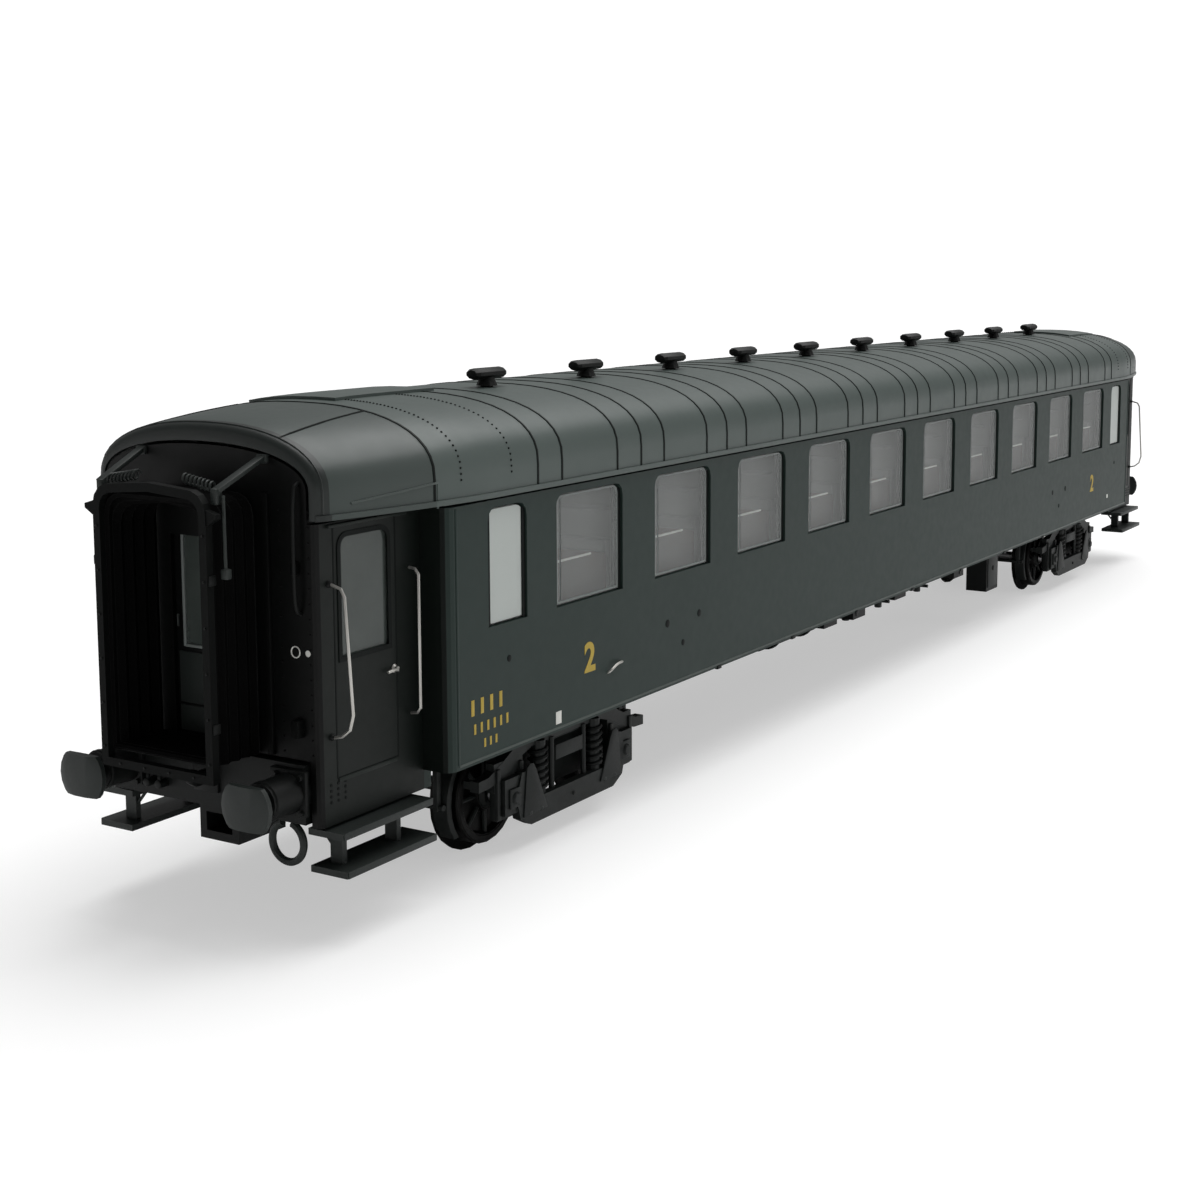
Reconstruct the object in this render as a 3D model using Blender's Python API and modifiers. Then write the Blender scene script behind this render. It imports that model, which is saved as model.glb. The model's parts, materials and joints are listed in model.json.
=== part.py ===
"""Model passenger coach: a second-class bogie coach in 1:87 scale, as an assembly of separate pieces.

X runs along the coach, Z is up and zero is the lowest point of the wheel flanges, under the
middle of the coach. The coach looks the same when it is turned half round about Z.
Run it with blender --background --python part.py, or from Blender's text editor.
"""

import math

import bmesh
import bpy
from mathutils import Matrix, Vector

MM = 0.001
GAP = 0.3 * MM                      # clearance kept between touching pieces

# Running gear
FLANGE_DEPTH = 1.0 * MM
TREAD_RADIUS = 5.25 * MM
FLANGE_RADIUS = TREAD_RADIUS + FLANGE_DEPTH
AXLE_Z = FLANGE_RADIUS
AXLE_RADIUS = 0.75 * MM
AXLE_HALF_LENGTH = 12.1 * MM
WHEEL_BACK_Y = 7.15 * MM            # half of the back-to-back distance
WHEEL_WIDTH = 2.8 * MM
BOGIE_X = 87.25 * MM                # half of the distance between bogie pivots
HALF_WHEELBASE = 10.75 * MM
PIVOT_RADIUS = 1.9 * MM

# Body
BODY_HALF_LENGTH = 112.6 * MM       # the wide part between the entrances
BODY_HALF_WIDTH = 16.4 * MM
WALL = 1.2 * MM
BODY_BOTTOM = 12.8 * MM
BODY_TOP = 38.0 * MM
END_X = 127.0 * MM                  # outer face of the end walls
PORCH_HALF_WIDTH = 13.1 * MM        # the narrower entrance ends
PORCH_WALL = 1.0 * MM
PORCH_BOTTOM = 10.9 * MM
PORCH_CORNER = 0.5 * MM
BODY_CORNER = 0.9 * MM

# Windows
BAYS = 10
BAY_PITCH = 19.6 * MM
WINDOW_WIDTH = 12.8 * MM
SILL_Z = 25.7 * MM
WINDOW_TOP = 37.3 * MM
NARROW_X = 103.05 * MM
NARROW_WIDTH = 6.5 * MM
WINDOW_CORNER = 1.3 * MM
DOOR_X = 120.6 * MM
DOOR_GLASS_WIDTH = 7.2 * MM
DOOR_GLASS_BOTTOM = 25.5 * MM
DOOR_GLASS_TOP = 36.9 * MM
END_DOOR_HALF_WIDTH = 4.2 * MM
END_DOOR_BOTTOM = 17.4 * MM
END_DOOR_TOP = 37.2 * MM
END_DOOR_RECESS = 0.45 * MM

# Roof
ROOF_BOTTOM = BODY_TOP + GAP
CORNICE_TOP = 40.8 * MM
CROWN_Z = 47.5 * MM
END_CROWN_Z = 46.3 * MM
END_BAND = 1.6 * MM                 # height of the roof's vertical end band at the crown
END_BAND_SIDE = 0.9 * MM            # width of the same band at the sides
ROOF_THICKNESS = 0.8 * MM
ROOF_OVERHANG = 0.3 * MM
ROOF_STRAIGHT_X = 106.0 * MM
SHOULDER_POWER = 0.80               # below 1 squares the roof's shoulders
END_SHOULDER_POWER = 0.90
END_ROUNDING = 0.9 * MM             # rounding of the roof's end edge

# Roof ventilators
VENT_Y = -3.3 * MM
VENT_CAP_LENGTH = 5.8 * MM
VENT_CAP_RADIUS = 0.62 * MM
VENT_CAP_Z = 48.9 * MM
VENT_STEM_RADIUS = 0.6 * MM

# Ends
BUFFER_FACE_X = 133.5 * MM
BUFFER_Y = 10.05 * MM
BUFFER_Z = 14.0 * MM
BUFFER_HEAD_RADIUS = 2.75 * MM
BUFFER_HEAD_HALF_HEIGHT = 1.95 * MM
BUFFER_TRAVEL = 0.9 * MM
PLUNGER_RADIUS = 0.8 * MM
SLEEVE_RADIUS = 1.75 * MM
SLEEVE_END_X = 131.4 * MM
HEADSTOCK_FACE_X = 127.5 * MM
HEADSTOCK_HALF_WIDTH = 11.7 * MM
HEADSTOCK_BOTTOM = 11.2 * MM
HEADSTOCK_TOP = 16.6 * MM
GANGWAY_FACE_X = 133.6 * MM
GANGWAY_FRAME_DEPTH = 0.8 * MM
GANGWAY_HALF_WIDTH = 6.8 * MM
GANGWAY_BOTTOM = 15.6 * MM
GANGWAY_TOP = 41.6 * MM
GANGWAY_BAR = 0.8 * MM
BELLOWS_HALF_WIDTH = 6.3 * MM
BELLOWS_PLEATS = 4
COUPLER_PIVOT_X = 112.0 * MM
COUPLER_Z = 9.2 * MM
POCKET_FACE_X = 126.2 * MM

# Underframe
FLOOR_BOTTOM = 13.3 * MM
FLOOR_TOP = 15.0 * MM

GREEN = (0.021, 0.036, 0.030, 1.0)
ROOF_GREY = (0.050, 0.062, 0.058, 1.0)
BLACK = (0.012, 0.012, 0.013, 1.0)
STEEL = (0.45, 0.45, 0.46, 1.0)
RAIL_WIRE = (0.72, 0.71, 0.66, 1.0)
GLASS = (0.80, 0.86, 0.86, 0.35)
CREAM = (0.42, 0.40, 0.37, 1.0)


# ---------------------------------------------------------------- scene and materials

def clear_scene():
    """Remove every object that the file starts with."""
    for obj in list(bpy.data.objects):
        bpy.data.objects.remove(obj, do_unlink=True)


def new_collection(name):
    collection = bpy.data.collections.new(name)
    bpy.context.scene.collection.children.link(collection)
    return collection


def paint(obj, colour, roughness, metallic=0.0):
    """Give an object its own Principled BSDF material."""
    material = bpy.data.materials.new(obj.name + "_finish")
    material.use_nodes = True
    shader = material.node_tree.nodes["Principled BSDF"]
    shader.inputs["Base Color"].default_value = colour
    shader.inputs["Roughness"].default_value = roughness
    shader.inputs["Metallic"].default_value = metallic
    shader.inputs["Alpha"].default_value = colour[3]
    obj.data.materials.clear()
    obj.data.materials.append(material)
    return obj


# ---------------------------------------------------------------- shapes

def mesh_object(name, bm, collection):
    mesh = bpy.data.meshes.new(name)
    bm.to_mesh(mesh)
    bm.free()
    obj = bpy.data.objects.new(name, mesh)
    collection.objects.link(obj)
    return obj


def box(name, low, high, collection):
    """A box between two opposite corners."""
    low, high = Vector(low), Vector(high)
    bm = bmesh.new()
    bmesh.ops.create_cube(bm, size=1.0)
    place = Matrix.Translation((low + high) / 2) @ Matrix.Diagonal((*(high - low), 1.0))
    bmesh.ops.transform(bm, matrix=place, verts=bm.verts)
    return mesh_object(name, bm, collection)


def mirrored_box(name, low, high, collection):
    """The same box on the other side of the coach's middle line, at -Y."""
    return box(name, (low[0], -high[1], low[2]), (high[0], -low[1], high[2]), collection)


def cylinder(name, radius, start, end, collection, sides=16, end_radius=None):
    """A cylinder, or a cone when end_radius differs, from start to end."""
    start, end = Vector(start), Vector(end)
    bm = bmesh.new()
    top = radius if end_radius is None else end_radius
    bmesh.ops.create_cone(
        bm, cap_ends=True, segments=sides, radius1=radius, radius2=top, depth=(end - start).length
    )
    turn = (end - start).to_track_quat("Z", "Y").to_matrix().to_4x4()
    bmesh.ops.transform(bm, matrix=Matrix.Translation((start + end) / 2) @ turn, verts=bm.verts)
    return mesh_object(name, bm, collection)


def settle(obj, collection):
    """Turn an object with its modifiers into a plain mesh object that takes its place."""
    bpy.context.view_layer.update()
    graph = bpy.context.evaluated_depsgraph_get()
    mesh = bpy.data.meshes.new_from_object(obj.evaluated_get(graph))
    matrix = obj.matrix_world.copy()
    name = obj.name
    bpy.data.objects.remove(obj, do_unlink=True)
    plain = bpy.data.objects.new(name, mesh)
    collection.objects.link(plain)
    mesh.transform(matrix)
    bm = bmesh.new()
    bm.from_mesh(mesh)
    bmesh.ops.remove_doubles(bm, verts=bm.verts, dist=0.5e-6)
    bm.to_mesh(mesh)
    bm.free()
    return plain


def plate(name, outlines, thickness, matrix, collection):
    """A flat plate from closed outlines (the second and later ones are holes), stood up by a matrix."""
    curve = bpy.data.curves.new(name, "CURVE")
    curve.dimensions = "2D"
    curve.fill_mode = "BOTH"
    curve.extrude = thickness / 2
    for outline in outlines:
        spline = curve.splines.new("POLY")
        spline.points.add(len(outline) - 1)
        for point, (across, up) in zip(spline.points, outline):
            point.co = (across, up, 0.0, 1.0)
        spline.use_cyclic_u = True
    obj = bpy.data.objects.new(name, curve)
    obj.matrix_world = matrix
    collection.objects.link(obj)
    return settle(obj, collection)


def facing_y(y):
    """Stands a plate's outline up in the XZ plane, with its middle at y."""
    return Matrix.Translation((0.0, y, 0.0)) @ Matrix.Rotation(math.radians(90), 4, "X")


def facing_x(x):
    """Stands a plate's outline up in the YZ plane, with its middle at x."""
    upright = Matrix(((0, 0, 1, 0), (1, 0, 0, 0), (0, 1, 0, 0), (0, 0, 0, 1)))
    return Matrix.Translation((x, 0.0, 0.0)) @ upright


def turned(name, profile, matrix, collection, sides=20):
    """A turned shape: a profile of (radius, height) points swept about its own Z axis."""
    mesh = bpy.data.meshes.new(name)
    mesh.from_pydata([(r, 0.0, h) for r, h in profile], [(i, i + 1) for i in range(len(profile) - 1)], [])
    obj = bpy.data.objects.new(name, mesh)
    obj.matrix_world = matrix
    collection.objects.link(obj)
    screw = obj.modifiers.new("turn", "SCREW")
    screw.axis = "Z"
    screw.steps = sides
    screw.render_steps = sides
    screw.use_merge_vertices = True
    screw.merge_threshold = 0.00001
    return settle(obj, collection)


def wire(name, points, radius, collection, resolution=1, cyclic=False):
    """A round wire through points, with closed ends."""
    curve = bpy.data.curves.new(name, "CURVE")
    curve.dimensions = "3D"
    curve.bevel_depth = radius
    curve.bevel_resolution = resolution
    curve.use_fill_caps = True
    spline = curve.splines.new("POLY")
    spline.points.add(len(points) - 1)
    for point, place in zip(spline.points, points):
        point.co = (*place, 1.0)
    spline.use_cyclic_u = cyclic
    obj = bpy.data.objects.new(name, curve)
    collection.objects.link(obj)
    return settle(obj, collection)


def hide_tool(obj):
    obj.hide_render = True
    obj.display_type = "WIRE"


def combine(obj, others, operation):
    """Join others to obj, or cut them from it, by Boolean modifiers that stay on obj."""
    for other in others:
        hide_tool(other)
        modifier = obj.modifiers.new(other.name, "BOOLEAN")
        modifier.operation = operation
        modifier.solver = "EXACT"
        modifier.object = other
    return obj


def round_upright_edges(obj, width, segments=3):
    """Round the vertical edges of a block."""
    bm = bmesh.new()
    bm.from_mesh(obj.data)
    upright = [e for e in bm.edges if abs((e.verts[0].co - e.verts[1].co).normalized().z) > 0.99]
    bmesh.ops.bevel(bm, geom=upright, offset=width, segments=segments, profile=0.5, affect="EDGES")
    bm.to_mesh(obj.data)
    bm.free()
    return obj


def arc(centre, radius, start, end, steps):
    """Points of an arc in a plane, with its angles in degrees."""
    points = []
    for i in range(steps + 1):
        angle = math.radians(start + (end - start) * i / steps)
        points.append((centre[0] + radius * math.cos(angle), centre[1] + radius * math.sin(angle)))
    return points


def arched_opening(low_x, high_x, bottom, top, radius, steps=3):
    """An outline with square lower corners and rounded upper ones."""
    right = arc((high_x - radius, top - radius), radius, 0, 90, steps)
    left = arc((low_x + radius, top - radius), radius, 90, 180, steps)
    return [(low_x, bottom), (high_x, bottom)] + right + left


def window_spans():
    """(low x, high x) of every window in a side wall."""
    spans = [(-NARROW_X - NARROW_WIDTH / 2, -NARROW_X + NARROW_WIDTH / 2)]
    for i in range(BAYS):
        middle = (i - (BAYS - 1) / 2) * BAY_PITCH
        spans.append((middle - WINDOW_WIDTH / 2, middle + WINDOW_WIDTH / 2))
    spans.append((NARROW_X - NARROW_WIDTH / 2, NARROW_X + NARROW_WIDTH / 2))
    return spans


# ---------------------------------------------------------------- body, roof and glazing

def body_shell(parts, tools):
    """The moulded body: a wide middle, two narrow entrance ends, and every opening."""
    reach = BODY_HALF_LENGTH
    shell = box("body_shell", (-reach, -BODY_HALF_WIDTH, BODY_BOTTOM), (reach, BODY_HALF_WIDTH, BODY_TOP), parts)
    round_upright_edges(shell, BODY_CORNER)
    overlap = 2 * MM
    added, cut, arches = [], [], []
    for sign, end in ((-1, "a"), (1, "b")):
        xs = sorted((sign * (reach - overlap), sign * END_X))
        porch = box(
            "porch_" + end,
            (xs[0], -PORCH_HALF_WIDTH, PORCH_BOTTOM),
            (xs[1], PORCH_HALF_WIDTH, BODY_TOP),
            tools,
        )
        added.append(round_upright_edges(porch, PORCH_CORNER, 2))
        inner = sorted((sign * (reach - WALL), sign * (END_X - PORCH_WALL)))
        inside = PORCH_HALF_WIDTH - PORCH_WALL
        cut.append(box(
            "porch_inside_" + end, (inner[0], -inside, 5 * MM), (inner[1], inside, 50 * MM), tools
        ))
        # the notch that the headstock fills, below the end wall
        notch = sorted((sign * (END_X - 3 * MM), sign * (END_X + 3 * MM)))
        half = HEADSTOCK_HALF_WIDTH + GAP
        cut.append(box(
            "headstock_notch_" + end, (notch[0], -half, 5 * MM), (notch[1], half, HEADSTOCK_TOP + GAP), tools
        ))
        # the arch that closes the roof's end
        arch = [(y, z) for y, z in roof_section(END_X, END_BAND_SIDE + GAP, END_BAND + GAP) if z > ROOF_BOTTOM]
        outline = [(arch[-1][0], BODY_TOP - 2 * MM), (arch[0][0], BODY_TOP - 2 * MM)] + arch
        middle = sign * (END_X - PORCH_WALL / 2)
        arches.append(plate("end_arch_" + end, [outline], PORCH_WALL, facing_x(middle), tools))
    inside_x, inside_y = reach - WALL, BODY_HALF_WIDTH - WALL
    cut.append(box("body_inside", (-inside_x, -inside_y, 5 * MM), (inside_x, inside_y, 50 * MM), tools))
    for number, (low, high) in enumerate(window_spans()):
        outline = arched_opening(low, high, SILL_Z, WINDOW_TOP, WINDOW_CORNER)
        cut.append(plate("window_%d" % number, [outline], 60 * MM, facing_y(0.0), tools))
    for sign, end in ((-1, "a"), (1, "b")):
        low = sign * DOOR_X - DOOR_GLASS_WIDTH / 2
        outline = arched_opening(
            low, low + DOOR_GLASS_WIDTH, DOOR_GLASS_BOTTOM, DOOR_GLASS_TOP, WINDOW_CORNER
        )
        cut.append(plate("door_window_" + end, [outline], 60 * MM, facing_y(0.0), tools))
    outline = arched_opening(
        -END_DOOR_HALF_WIDTH, END_DOOR_HALF_WIDTH, END_DOOR_BOTTOM, END_DOOR_TOP, WINDOW_CORNER
    )
    for sign, end in ((-1, "a"), (1, "b")):
        # the closed end door, set back into the end wall
        face = sign * END_X
        cut.append(plate("end_door_" + end, [outline], 2 * END_DOOR_RECESS, facing_x(face), tools))
    combine(shell, added, "UNION")
    combine(shell, cut, "DIFFERENCE")
    combine(shell, arches, "UNION")
    return paint(shell, GREEN, 0.55)


def roof_width(x):
    """Half width of the roof: straight over the body, drawn in over the entrances."""
    over = max(0.0, abs(x) - ROOF_STRAIGHT_X) / (END_X - ROOF_STRAIGHT_X)
    wide = BODY_HALF_WIDTH + ROOF_OVERHANG
    narrow = PORCH_HALF_WIDTH + ROOF_OVERHANG
    return wide - (wide - narrow) * over ** 1.6


def roof_crown(x):
    over = max(0.0, abs(x) - ROOF_STRAIGHT_X) / (END_X - ROOF_STRAIGHT_X)
    return CROWN_Z - (CROWN_Z - END_CROWN_Z) * over ** 2


def roof_section(x, side_inset=0.0, top_inset=0.0, steps=12):
    """(y, z) points of the roof's outer surface across the coach at x."""
    wide = roof_width(x) - side_inset
    rise = roof_crown(x) - top_inset - CORNICE_TOP
    over = max(0.0, abs(x) - ROOF_STRAIGHT_X) / (END_X - ROOF_STRAIGHT_X)
    power = SHOULDER_POWER + (END_SHOULDER_POWER - SHOULDER_POWER) * over
    half = [(wide, ROOF_BOTTOM)]
    for i in range(steps + 1):
        angle = math.pi / 2 * i / steps
        across = wide * math.cos(angle) ** power if i < steps else 0.0
        half.append((across, CORNICE_TOP + rise * math.sin(angle) ** power))
    return half + [(-y, z) for y, z in reversed(half[:-1])]


def roof(parts):
    """The clip-on roof: an open surface over both ends, thickened inwards."""
    taper = 6
    reach = END_X - END_ROUNDING
    stations = [ROOF_STRAIGHT_X + (reach - ROOF_STRAIGHT_X) * i / taper for i in range(taper + 1)]
    xs = [-x for x in reversed(stations)] + stations
    rings = [(x, roof_section(x)) for x in xs]
    ends = []
    for angle in (30, 60, 90):
        x = reach + END_ROUNDING * math.sin(math.radians(angle))
        inset = END_ROUNDING * (1 - math.cos(math.radians(angle))) * 0.7
        ends.append((x, roof_section(x, inset, inset)))
    ends.append((END_X, roof_section(END_X, END_BAND_SIDE, END_BAND)))
    rings = [(-x, section) for x, section in reversed(ends)] + rings + ends
    bm = bmesh.new()
    rows = [[bm.verts.new((x, y, z)) for y, z in section] for x, section in rings]
    for row, following in zip(rows, rows[1:]):
        for i in range(len(row) - 1):
            bm.faces.new((row[i], following[i], following[i + 1], row[i + 1]))
    bmesh.ops.recalc_face_normals(bm, faces=bm.faces)
    top = max(bm.faces, key=lambda f: f.calc_center_median().z)
    if top.normal.z < 0:
        bmesh.ops.reverse_faces(bm, faces=bm.faces)
    shell = mesh_object("roof", bm, parts)
    solid = shell.modifiers.new("thickness", "SOLIDIFY")
    solid.thickness = ROOF_THICKNESS
    solid.offset = -1.0
    solid.use_even_offset = True
    return paint(shell, ROOF_GREY, 0.5)


def roof_vents(parts, tools):
    """One ventilator over every compartment: a long cap on a short stem."""
    for number in range(BAYS):
        x = (number - (BAYS - 1) / 2) * BAY_PITCH
        half = VENT_CAP_LENGTH / 2
        flat = VENT_CAP_RADIUS
        profile = [(0.0, half)] + [
            (flat * math.sin(math.radians(a)), half - flat + flat * math.cos(math.radians(a)))
            for a in (45, 90)
        ]
        profile += [(r, -h) for r, h in reversed(profile)]
        along = Matrix.Translation((x, VENT_Y, VENT_CAP_Z)) @ Matrix.Diagonal((1.0, 1.6, 1.0, 1.0))
        along = along @ Matrix.Rotation(math.radians(90), 4, "Y")
        vent = turned("roof_vent_%d" % (number + 1), profile, along, parts, 10)
        foot = (x, VENT_Y, CROWN_Z + GAP * 0.3)
        stem = cylinder(
            "vent_stem_%d" % number, VENT_STEM_RADIUS * 1.9, foot, (x, VENT_Y, VENT_CAP_Z),
            tools, 10, VENT_STEM_RADIUS,
        )
        combine(vent, [stem], "UNION")
        paint(vent, BLACK, 0.6)


def glazing(parts, tools):
    """A clear strip along each side, with a raised pane for every window, and a pane in every door."""
    back = 0.6 * MM
    recess = 0.35 * MM
    inner = BODY_HALF_WIDTH - WALL - 0.15 * MM
    reach = BODY_HALF_LENGTH - WALL - 1 * MM
    for sign, side in ((-1, "left"), (1, "right")):
        ys = sorted((sign * (inner - back), sign * inner))
        strip = box(
            "glazing_" + side, (-reach, ys[0], SILL_Z - 2 * MM), (reach, ys[1], BODY_TOP - 0.5 * MM), parts
        )
        panes = []
        deep = sorted((sign * (inner - back / 2), sign * (BODY_HALF_WIDTH - recess)))
        for number, (low, high) in enumerate(window_spans()):
            outline = arched_opening(
                low + 0.15 * MM, high - 0.15 * MM, SILL_Z + 0.15 * MM, WINDOW_TOP - 0.15 * MM, WINDOW_CORNER, 2
            )
            panes.append(plate(
                "pane_%s_%d" % (side, number), [outline], deep[1] - deep[0], facing_y(sum(deep) / 2), tools
            ))
        combine(strip, panes, "UNION")
        paint(strip, GLASS, 0.08)
        for end_sign, end in ((-1, "front"), (1, "rear")):
            low = end_sign * DOOR_X - DOOR_GLASS_WIDTH / 2
            outline = arched_opening(
                low + 0.15 * MM, low + DOOR_GLASS_WIDTH - 0.15 * MM,
                DOOR_GLASS_BOTTOM + 0.15 * MM, DOOR_GLASS_TOP - 0.15 * MM, WINDOW_CORNER,
            )
            middle = sign * (PORCH_HALF_WIDTH - PORCH_WALL / 2)
            pane = plate("door_glass_%s_%s" % (side, end), [outline], 0.6 * MM, facing_y(middle), parts)
            paint(pane, GLASS, 0.08)


# ---------------------------------------------------------------- inside

def interior(parts, tools):
    """Compartments on one side, a corridor on the other: one moulding with floor, walls and seats."""
    floor_z = FLOOR_TOP + 1.6 * MM
    reach = BODY_HALF_LENGTH - WALL - 1.2 * MM
    half = BODY_HALF_WIDTH - WALL - 1.2 * MM
    tray = box("interior", (-reach, -half, floor_z), (reach, half, floor_z + 0.8 * MM), parts)
    top = BODY_TOP - 0.6 * MM
    corridor_y = 5.6 * MM
    end = BAYS / 2 * BAY_PITCH
    added = [box(
        "corridor_wall", (-end, corridor_y, floor_z), (end, corridor_y + 0.7 * MM, top), tools
    )]
    for i in range(BAYS + 1):
        x = -end + i * BAY_PITCH
        added.append(box(
            "partition_%d" % i, (x - 0.35 * MM, -half, floor_z), (x + 0.35 * MM, corridor_y + 0.3 * MM, top), tools
        ))
        low = x - 5.2 * MM if i > 0 else x
        high = x + 5.2 * MM if i < BAYS else x
        added.append(box(
            "bench_%d" % i, (low, -half + 0.4 * MM, floor_z), (high, corridor_y - 0.4 * MM, floor_z + 5.2 * MM), tools
        ))
        low = x - 1.6 * MM if i > 0 else x
        high = x + 1.6 * MM if i < BAYS else x
        added.append(box(
            "bench_back_%d" % i, (low, -half + 0.5 * MM, floor_z), (high, corridor_y - 0.5 * MM, floor_z + 14 * MM), tools
        ))
    combine(tray, added, "UNION")
    paint(tray, CREAM, 0.7)
    weight = box(
        "ballast_plate", (-74 * MM, -11 * MM, FLOOR_TOP + 0.3 * MM), (74 * MM, 11 * MM, floor_z - 0.3 * MM), parts
    )
    paint(weight, STEEL, 0.45, 1.0)


# ---------------------------------------------------------------- underframe and its fittings

def underframe(parts, tools):
    """The floor with solebars, headstocks, buffer sleeves, bogie pins, coupler pins and equipment."""
    reach = BODY_HALF_LENGTH - WALL - GAP
    half = BODY_HALF_WIDTH - WALL - GAP
    base = box("underframe", (-reach, -half, FLOOR_BOTTOM), (reach, half, FLOOR_TOP), parts)
    added, cut = [], []
    for sign, end in ((-1, "a"), (1, "b")):
        xs = sorted((sign * (reach - 4 * MM), sign * (END_X - PORCH_WALL - GAP)))
        inside = PORCH_HALF_WIDTH - PORCH_WALL - GAP
        added.append(box(
            "porch_floor_" + end, (xs[0], -inside, FLOOR_BOTTOM - 1.6 * MM), (xs[1], inside, FLOOR_TOP), tools
        ))
        xs = sorted((sign * (END_X - 2.2 * MM), sign * HEADSTOCK_FACE_X))
        added.append(box(
            "headstock_" + end,
            (xs[0], -HEADSTOCK_HALF_WIDTH, HEADSTOCK_BOTTOM),
            (xs[1], HEADSTOCK_HALF_WIDTH, HEADSTOCK_TOP),
            tools,
        ))
        for side in (-1, 1):
            y = side * BUFFER_Y
            start = (sign * (HEADSTOCK_FACE_X - 1 * MM), y, BUFFER_Z)
            name = "%s_%d" % (end, side)
            added.append(cylinder(
                "buffer_sleeve_" + name, SLEEVE_RADIUS * 1.12, start, (sign * SLEEVE_END_X, y, BUFFER_Z),
                tools, 16, SLEEVE_RADIUS,
            ))
            bore_end = (sign * (SLEEVE_END_X + 1 * MM), y, BUFFER_Z)
            cut.append(cylinder(
                "buffer_bore_" + name, PLUNGER_RADIUS + GAP, start, bore_end, tools, 12
            ))
        pin_bottom = (sign * BOGIE_X, 0.0, 9.9 * MM)
        added.append(cylinder(
            "bogie_pin_" + end, PIVOT_RADIUS, pin_bottom, (sign * BOGIE_X, 0.0, FLOOR_TOP - 0.2 * MM), tools, 20
        ))
        coupler_x = sign * COUPLER_PIVOT_X
        added.append(cylinder(
            "coupler_pin_" + end, 1.0 * MM, (coupler_x, 0.0, COUPLER_Z - 1.0 * MM),
            (coupler_x, 0.0, FLOOR_TOP - 0.2 * MM), tools, 12,
        ))
    added += underfloor_equipment(tools)
    combine(base, added, "UNION")
    combine(base, cut, "DIFFERENCE")
    return paint(base, BLACK, 0.6)


def underfloor_equipment(tools):
    """Battery box, air tank and small valves, set out so that half a turn about Z repeats them."""
    made = []
    for sign, end in ((-1, "a"), (1, "b")):
        xs = sorted((sign * 41.0 * MM, sign * 46.5 * MM))
        ys = sorted((-sign * 13.0 * MM, -sign * 9.4 * MM))
        made.append(box(
            "battery_box_" + end, (xs[0], ys[0], 5.6 * MM), (xs[1], ys[1], FLOOR_BOTTOM + 0.5 * MM), tools
        ))
        xs = sorted((sign * 14 * MM, sign * 31 * MM))
        made.append(cylinder(
            "air_tank_" + end, 2.4 * MM, (xs[0], sign * 6 * MM, 10.4 * MM), (xs[1], sign * 6 * MM, 10.4 * MM),
            tools, 16,
        ))
        made.append(box(
            "tank_saddle_" + end, (xs[0] + 4 * MM, sign * 6 * MM - 1 * MM, 10.4 * MM),
            (xs[1] - 4 * MM, sign * 6 * MM + 1 * MM, FLOOR_BOTTOM + 0.5 * MM), tools,
        ))
        for number, x in enumerate((25.5, 1.4, -13.6, -23.2)):
            xs = sorted((sign * (x - 2.1) * MM, sign * (x + 2.1) * MM))
            ys = sorted((-sign * 13.9 * MM, -sign * 10.6 * MM))
            low = (10.6 + 0.4 * (number % 2)) * MM
            made.append(box(
                "valve_box_%s_%d" % (end, number), (xs[0], ys[0], low), (xs[1], ys[1], FLOOR_BOTTOM + 0.5 * MM), tools
            ))
    return made


def bogie_side(name, middle, y, tools):
    """One side of a bogie: swan-neck frame, equaliser beam, axle boxes and springs."""
    sign = 1 if y > 0 else -1
    made = []

    def at(points):
        return [(middle + u * MM, z * MM) for u, z in points]

    top = [(-15.9, 9.0), (-14.2, 9.1), (-11.6, 10.2), (-8.8, 11.6), (-7.0, 12.0)]
    under = [(-15.9, 7.9), (-13.9, 8.0), (-11.0, 8.8), (-8.2, 10.1), (-6.6, 10.6)]
    outline = top + [(-u, z) for u, z in reversed(top)]
    outline += [(-u, z) for u, z in under] + list(reversed(under))
    made.append(plate(name + "_frame", [at(outline)], 1.1 * MM, facing_y(sign * 12.1 * MM), tools))
    outer = [(-9.6, 8.6), (-10.6, 6.0), (-9.9, 3.7), (-8.0, 2.7)]
    inner = [(-8.4, 8.6), (-7.2, 5.3)]
    outline = outer + [(-u, z) for u, z in reversed(outer)]
    outline += [(-u, z) for u, z in inner] + list(reversed(inner))
    made.append(plate(name + "_equaliser", [at(outline)], 1.0 * MM, facing_y(sign * 13.0 * MM), tools))
    for along, tag in ((-1, "out"), (1, "in")):
        u = along * HALF_WHEELBASE / MM
        xs = sorted((middle + (u - 1.6) * MM, middle + (u + 1.6) * MM))
        ys = sorted((sign * 11.4 * MM, sign * 13.3 * MM))
        made.append(box(
            "%s_axle_box_%s" % (name, tag), (xs[0], ys[0], 4.6 * MM), (xs[1], ys[1], 8.4 * MM), tools
        ))
        ys = sorted((sign * 11.6 * MM, sign * 12.6 * MM))
        made.append(box(
            "%s_guard_%s" % (name, tag), (xs[0] - 0.9 * MM, ys[0], 7.2 * MM), (xs[1] + 0.9 * MM, ys[1], 10.2 * MM), tools
        ))
        spring = middle + along * 5.3 * MM
        made.append(cylinder(
            "%s_spring_%s" % (name, tag), 0.8 * MM, (spring, sign * 12.5 * MM, 4.4 * MM),
            (spring, sign * 12.5 * MM, 11.0 * MM), tools, 10,
        ))
    return made


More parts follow.
